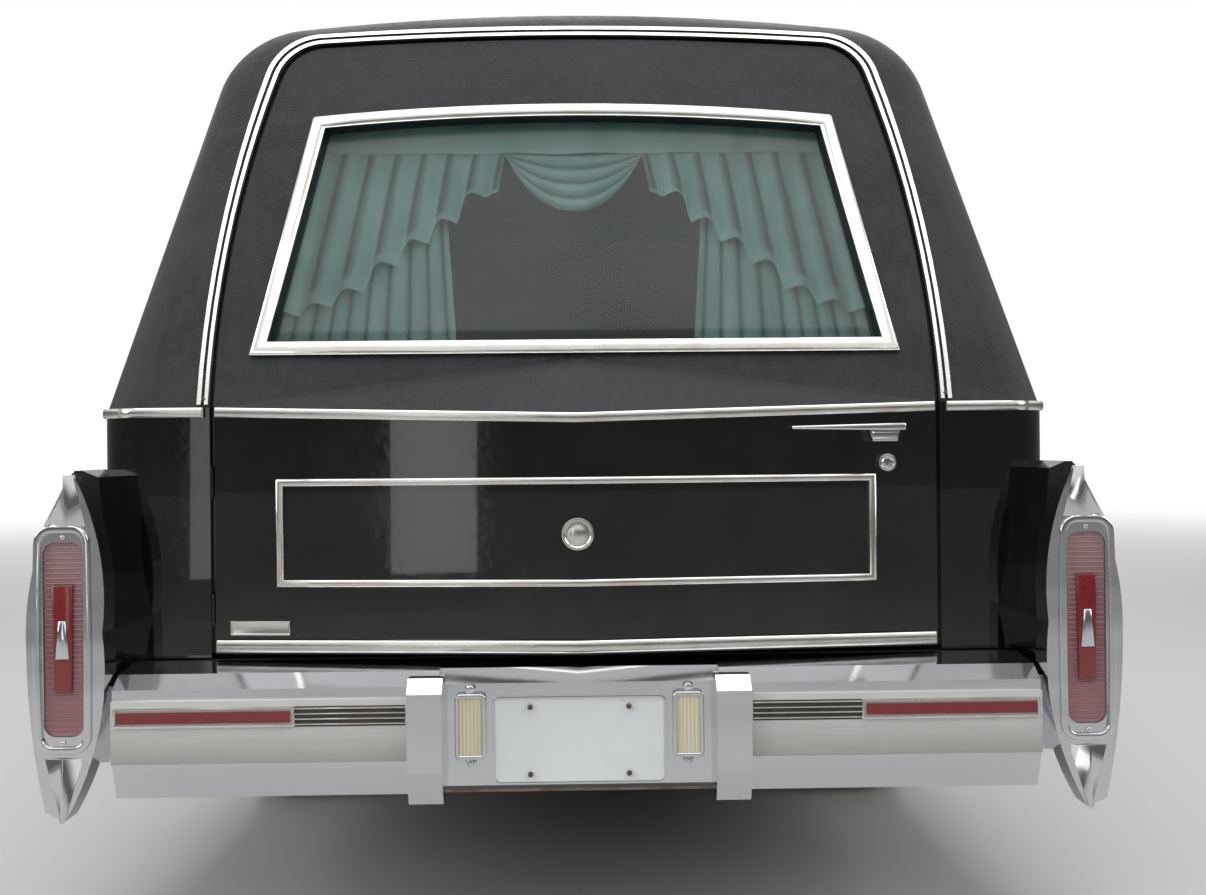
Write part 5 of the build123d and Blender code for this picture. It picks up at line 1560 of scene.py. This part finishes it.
# %% Sill mouldings
sill_x = side_x("body_frame", 1, -0.10, 0.290)
sill = block("sill_moulding_right", (-0.004, -1.130, 0.252), (0.005, 1.530, 0.318), (sill_x, 0, 0))
inset(sill, "X", (0.010, 0), (0.003, -0.0025))
soften(sill, 0.0018)
fit_pair(sill, "body", trim, "bright_trim")

# %% [markdown]
# ## Front lamps
# Four square lamps sit in bright frames, each with a round reflector bowl behind fluted
# glass. The frame is a block with its middle opened, as the lamp rings are.

# %% Front lamps
lamp_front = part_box("clear_lamps")[1].y
headlamp_z = 0.760
bowl_steps = ((0.006, 0.0), (0.006, -0.002), (0.014, 0.003), (0.014, 0.003), (0.008, 0.001))
for count, middle_x in enumerate((0.560, 0.735)):
    at = (middle_x, lamp_front, headlamp_z)
    bezel = block(
        f"front_lamp_frame_{count}_right", (-0.084, -0.004, -0.069), (0.084, 0.028, 0.069), at)
    round_corners(bezel, "Y", 0.010, 3)
    open_up(bezel, 0.011)
    soften(bezel, 0.0028, 3)
    bowl_middle = (middle_x, lamp_front + 0.003, headlamp_z)
    bowl = drum(f"front_lamp_bowl_{count}_right", bowl_middle, 0.056, 0.006, "Y", 40)
    pick(bowl, facing("Y"))
    terrace((0, 1, 0), bowl_steps)
    soften(bowl, 0.0008, 2, 30)
    fit_pair(bezel, "body", chrome, "bumper_chrome")
    fit_pair(bowl, "body", mirror_silver, "lamp_glass")

# %% [markdown]
# ## Wipers, mirror glass and cabin fittings
# The wipers rest on the windscreen's lower edge: an arm, and a blade that lies on the
# glass. Both are long blocks tapered at one end and turned into place.

# %% Wipers
foot_z = 1.048
for name, pivot_x in (("wiper_left", -0.42), ("wiper_right", 0.20)):
    foot_y = surface_at("windscreen", (pivot_x, 3.2, foot_z), (0, -1, 0)).y
    post = drum(name + "_post", (pivot_x, foot_y + 0.016, foot_z), 0.013, 0.030, "Y", 20)
    inset(post, "Y", (0.003, 0.002))
    foot = (pivot_x, foot_y, foot_z)
    arm = block(name + "_arm", (-0.006, 0.016, 0), (0.330, 0.022, 0.012), foot)
    taper(arm, "X", (1, 1, 0.5))
    blade = block(name + "_blade", (0.080, 0.006, 0.001), (0.520, 0.015, 0.009), foot)
    taper(blade, "-Y", (1, 1, 0.3))
    wiper = joined(name, post, arm, blade)
    turned(wiper, math.radians(-6), "Y", foot)
    soften(wiper, 0.0012)
    fit(wiper, "body", black_steel, "frame_steel")

# %% Mirror glass
for name, middle_x in (("right", 1.005), ("left", -1.005)):
    at = (middle_x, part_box("door_mirror_" + name)[0].y, 1.078)
    pane = block("mirror_pane_" + name, (-0.066, -0.0005, -0.040), (0.066, 0.003, 0.040), at)
    round_corners(pane, "Y", 0.016, 4)
    inset(pane, "-Y", (0.003, 0.0006))
    smooth(pane)
    fit(pane, "front_door_" + name, mirror_silver, "bright_trim")

# %% Dials and pedals
cluster = block("instrument_hood", (-0.560, 1.085, 0.900), (-0.240, 1.125, 0.955))
inset(cluster, "-Y", (0.008, 0), (0.002, -0.014))
soften(cluster, 0.006, 3)
fit(cluster, "body", cabin_trim, "interior_trim")
dial = drum("speed_dial", (-0.460, 1.098, 0.927), 0.020, 0.006, "Y", 40)
inset(dial, "-Y", (0.002, 0.001), (0.001, -0.002))
soften(dial, 0.0006)
for piece in (dial, again(dial, "fuel_dial", (0.120, 0, 0))):
    fit(piece, "body", trim, "bright_trim")
for name, left, right in (("brake_pedal", -0.440, -0.350), ("drive_pedal", -0.310, -0.265)):
    middle_x = (left + right) / 2
    pedal = block(name, (left, 1.180, 0.470), (right, 1.195, 0.545))
    inset(pedal, "-Y", (0.006, 0.002))
    at = (middle_x, 1.198, 0.610)
    lever = block(name + "_lever", (-0.008, -0.008, -0.090), (0.008, 0.008, 0.090), at)
    pedal = joined(name, pedal, lever)
    soften(pedal, 0.003)
    fit(pedal, "body", black_steel, "frame_steel")

# %% [markdown]
# ## Floor, camera and light
# The floor is a large pale sheet that fades to the white background with distance, and
# keeps the coach's shadow. The camera stands level behind the coach, at the height of a
# crouching person. Large soft lamps light the coach evenly. The world is plain white to
# the camera, and darker low down to paint and chrome, so that they mirror a horizon.

# %% Floor
let_go()
bpy.ops.mesh.primitive_grid_add(
    x_subdivisions=8, y_subdivisions=8, size=60, location=(0, 0, -0.001)
)
floor = named("studio_floor")
floor_fade = (1.8, 17.0)
glow_on_coach = 0.3


def ray_kinds(graph):
    """Whether a ray is the camera's, and whether it is that or one off a mirror or in glass"""
    ray = graph.node("LightPath").outputs
    camera_ray, mirror_ray, glass_ray = [
        Signal(graph, ray[f"Is {kind} Ray"]) for kind in ("Camera", "Glossy", "Transmission")
    ]
    return camera_ray, mirror_ray.larger(glass_ray).larger(camera_ray)


pale = bpy.data.materials.new("pale_floor")
ground = Graph(pale, "Object")
from_camera, seen = ray_kinds(ground)
distance = ground.number("VectorMath", {"operation": "LENGTH"}, {0: ground.place}, "Value")
shown = ground.between(distance, *floor_fade, curve="SMOOTHSTEP") * seen
glow = ground.between(from_camera, 0.0, 1.0, glow_on_coach, 1.0)
matt = ground.node("BsdfDiffuse", {}, {"Color": (0.62, 0.62, 0.61)}).outputs[0]
white = ground.node("Emission", {}, {"Color": (1, 1, 1), "Strength": glow}).outputs[0]
either = ground.node("MixShader", {}, {0: shown, 1: matt, 2: white}).outputs[0]
ground.node("OutputMaterial", {}, {0: either})
floor.data.materials.append(pale)
print("floor is ready")

# %% World
world_light = 0.40
horizon, overhead = (0.10, 0.15), (0.42, 1.0)
world = bpy.data.worlds.new("pale_studio")
bpy.context.scene.world = world
sky = Graph(world, "Generated")
from_camera, seen = ray_kinds(sky)
mirrored = sky.between(
    sky.axis("Z"), horizon[0], overhead[0], horizon[1], overhead[1], "SMOOTHSTEP")


def blend(mask, low, high):
    """One number, or another where the mask is 1"""
    return sky.number("Mix", {"data_type": "FLOAT"}, {0: mask, 2: low, 3: high})


strength = blend(seen, world_light, blend(from_camera, mirrored, 1.0))
backdrop = sky.node("Background", {}, {"Color": (1, 1, 1), "Strength": strength})
sky.node("OutputWorld", {}, {0: backdrop.outputs[0]})
print("world is ready")

# %% Lamps


def soft_lamp(name, place, aim, size, power):
    """A large area lamp that looks at a point"""
    lamp = bpy.data.lights.new(name, "AREA")
    lamp.shape = "RECTANGLE"
    lamp.size, lamp.size_y = size
    lamp.energy = power
    holder = bpy.data.objects.new(name, lamp)
    bpy.context.scene.collection.objects.link(holder)
    holder.location = place
    holder.rotation_euler = (Vector(aim) - Vector(place)).to_track_quat("-Z", "Y").to_euler()


soft_lamp("top_lamp", (0, -1.5, 5.5), (0, -0.5, 0), (5, 9), 260)
soft_lamp("left_lamp", (-5.5, -5.5, 3.2), (0, -2.5, 0.8), (3, 3), 150)
soft_lamp("right_lamp", (5.5, -5.0, 3.6), (0, -2.5, 0.8), (3, 3), 110)
soft_lamp("front_lamp", (0, 7.5, 4.0), (0, 2.5, 0.6), (5, 3), 160)
soft_lamp("rear_left_lamp", (-1.9, -8.2, 1.5), (0, -3, 0.8), (0.5, 2.6), 6)
print("five lamps are ready")

# %% Camera
camera_y = -5.58
view = bpy.data.cameras.new("rear_camera")
view.sensor_width = 36
view.lens = 41.8
view.clip_end = 200
camera = bpy.data.objects.new("rear_camera", view)
bpy.context.scene.collection.objects.link(camera)
camera.location = (-0.006, camera_y, 0.938)
camera.rotation_euler = (math.radians(90), math.radians(0.55), math.radians(-1.2))
bpy.context.scene.camera = camera
bpy.context.scene.view_settings.view_transform = "Standard"
print("camera is", round(lamp_face - camera_y, 2), "metres behind the tail lamps")

# %% [markdown]
# ## Sizes
# Dressing doesn't change how big the coach is.

# %% Letting go
let_go()
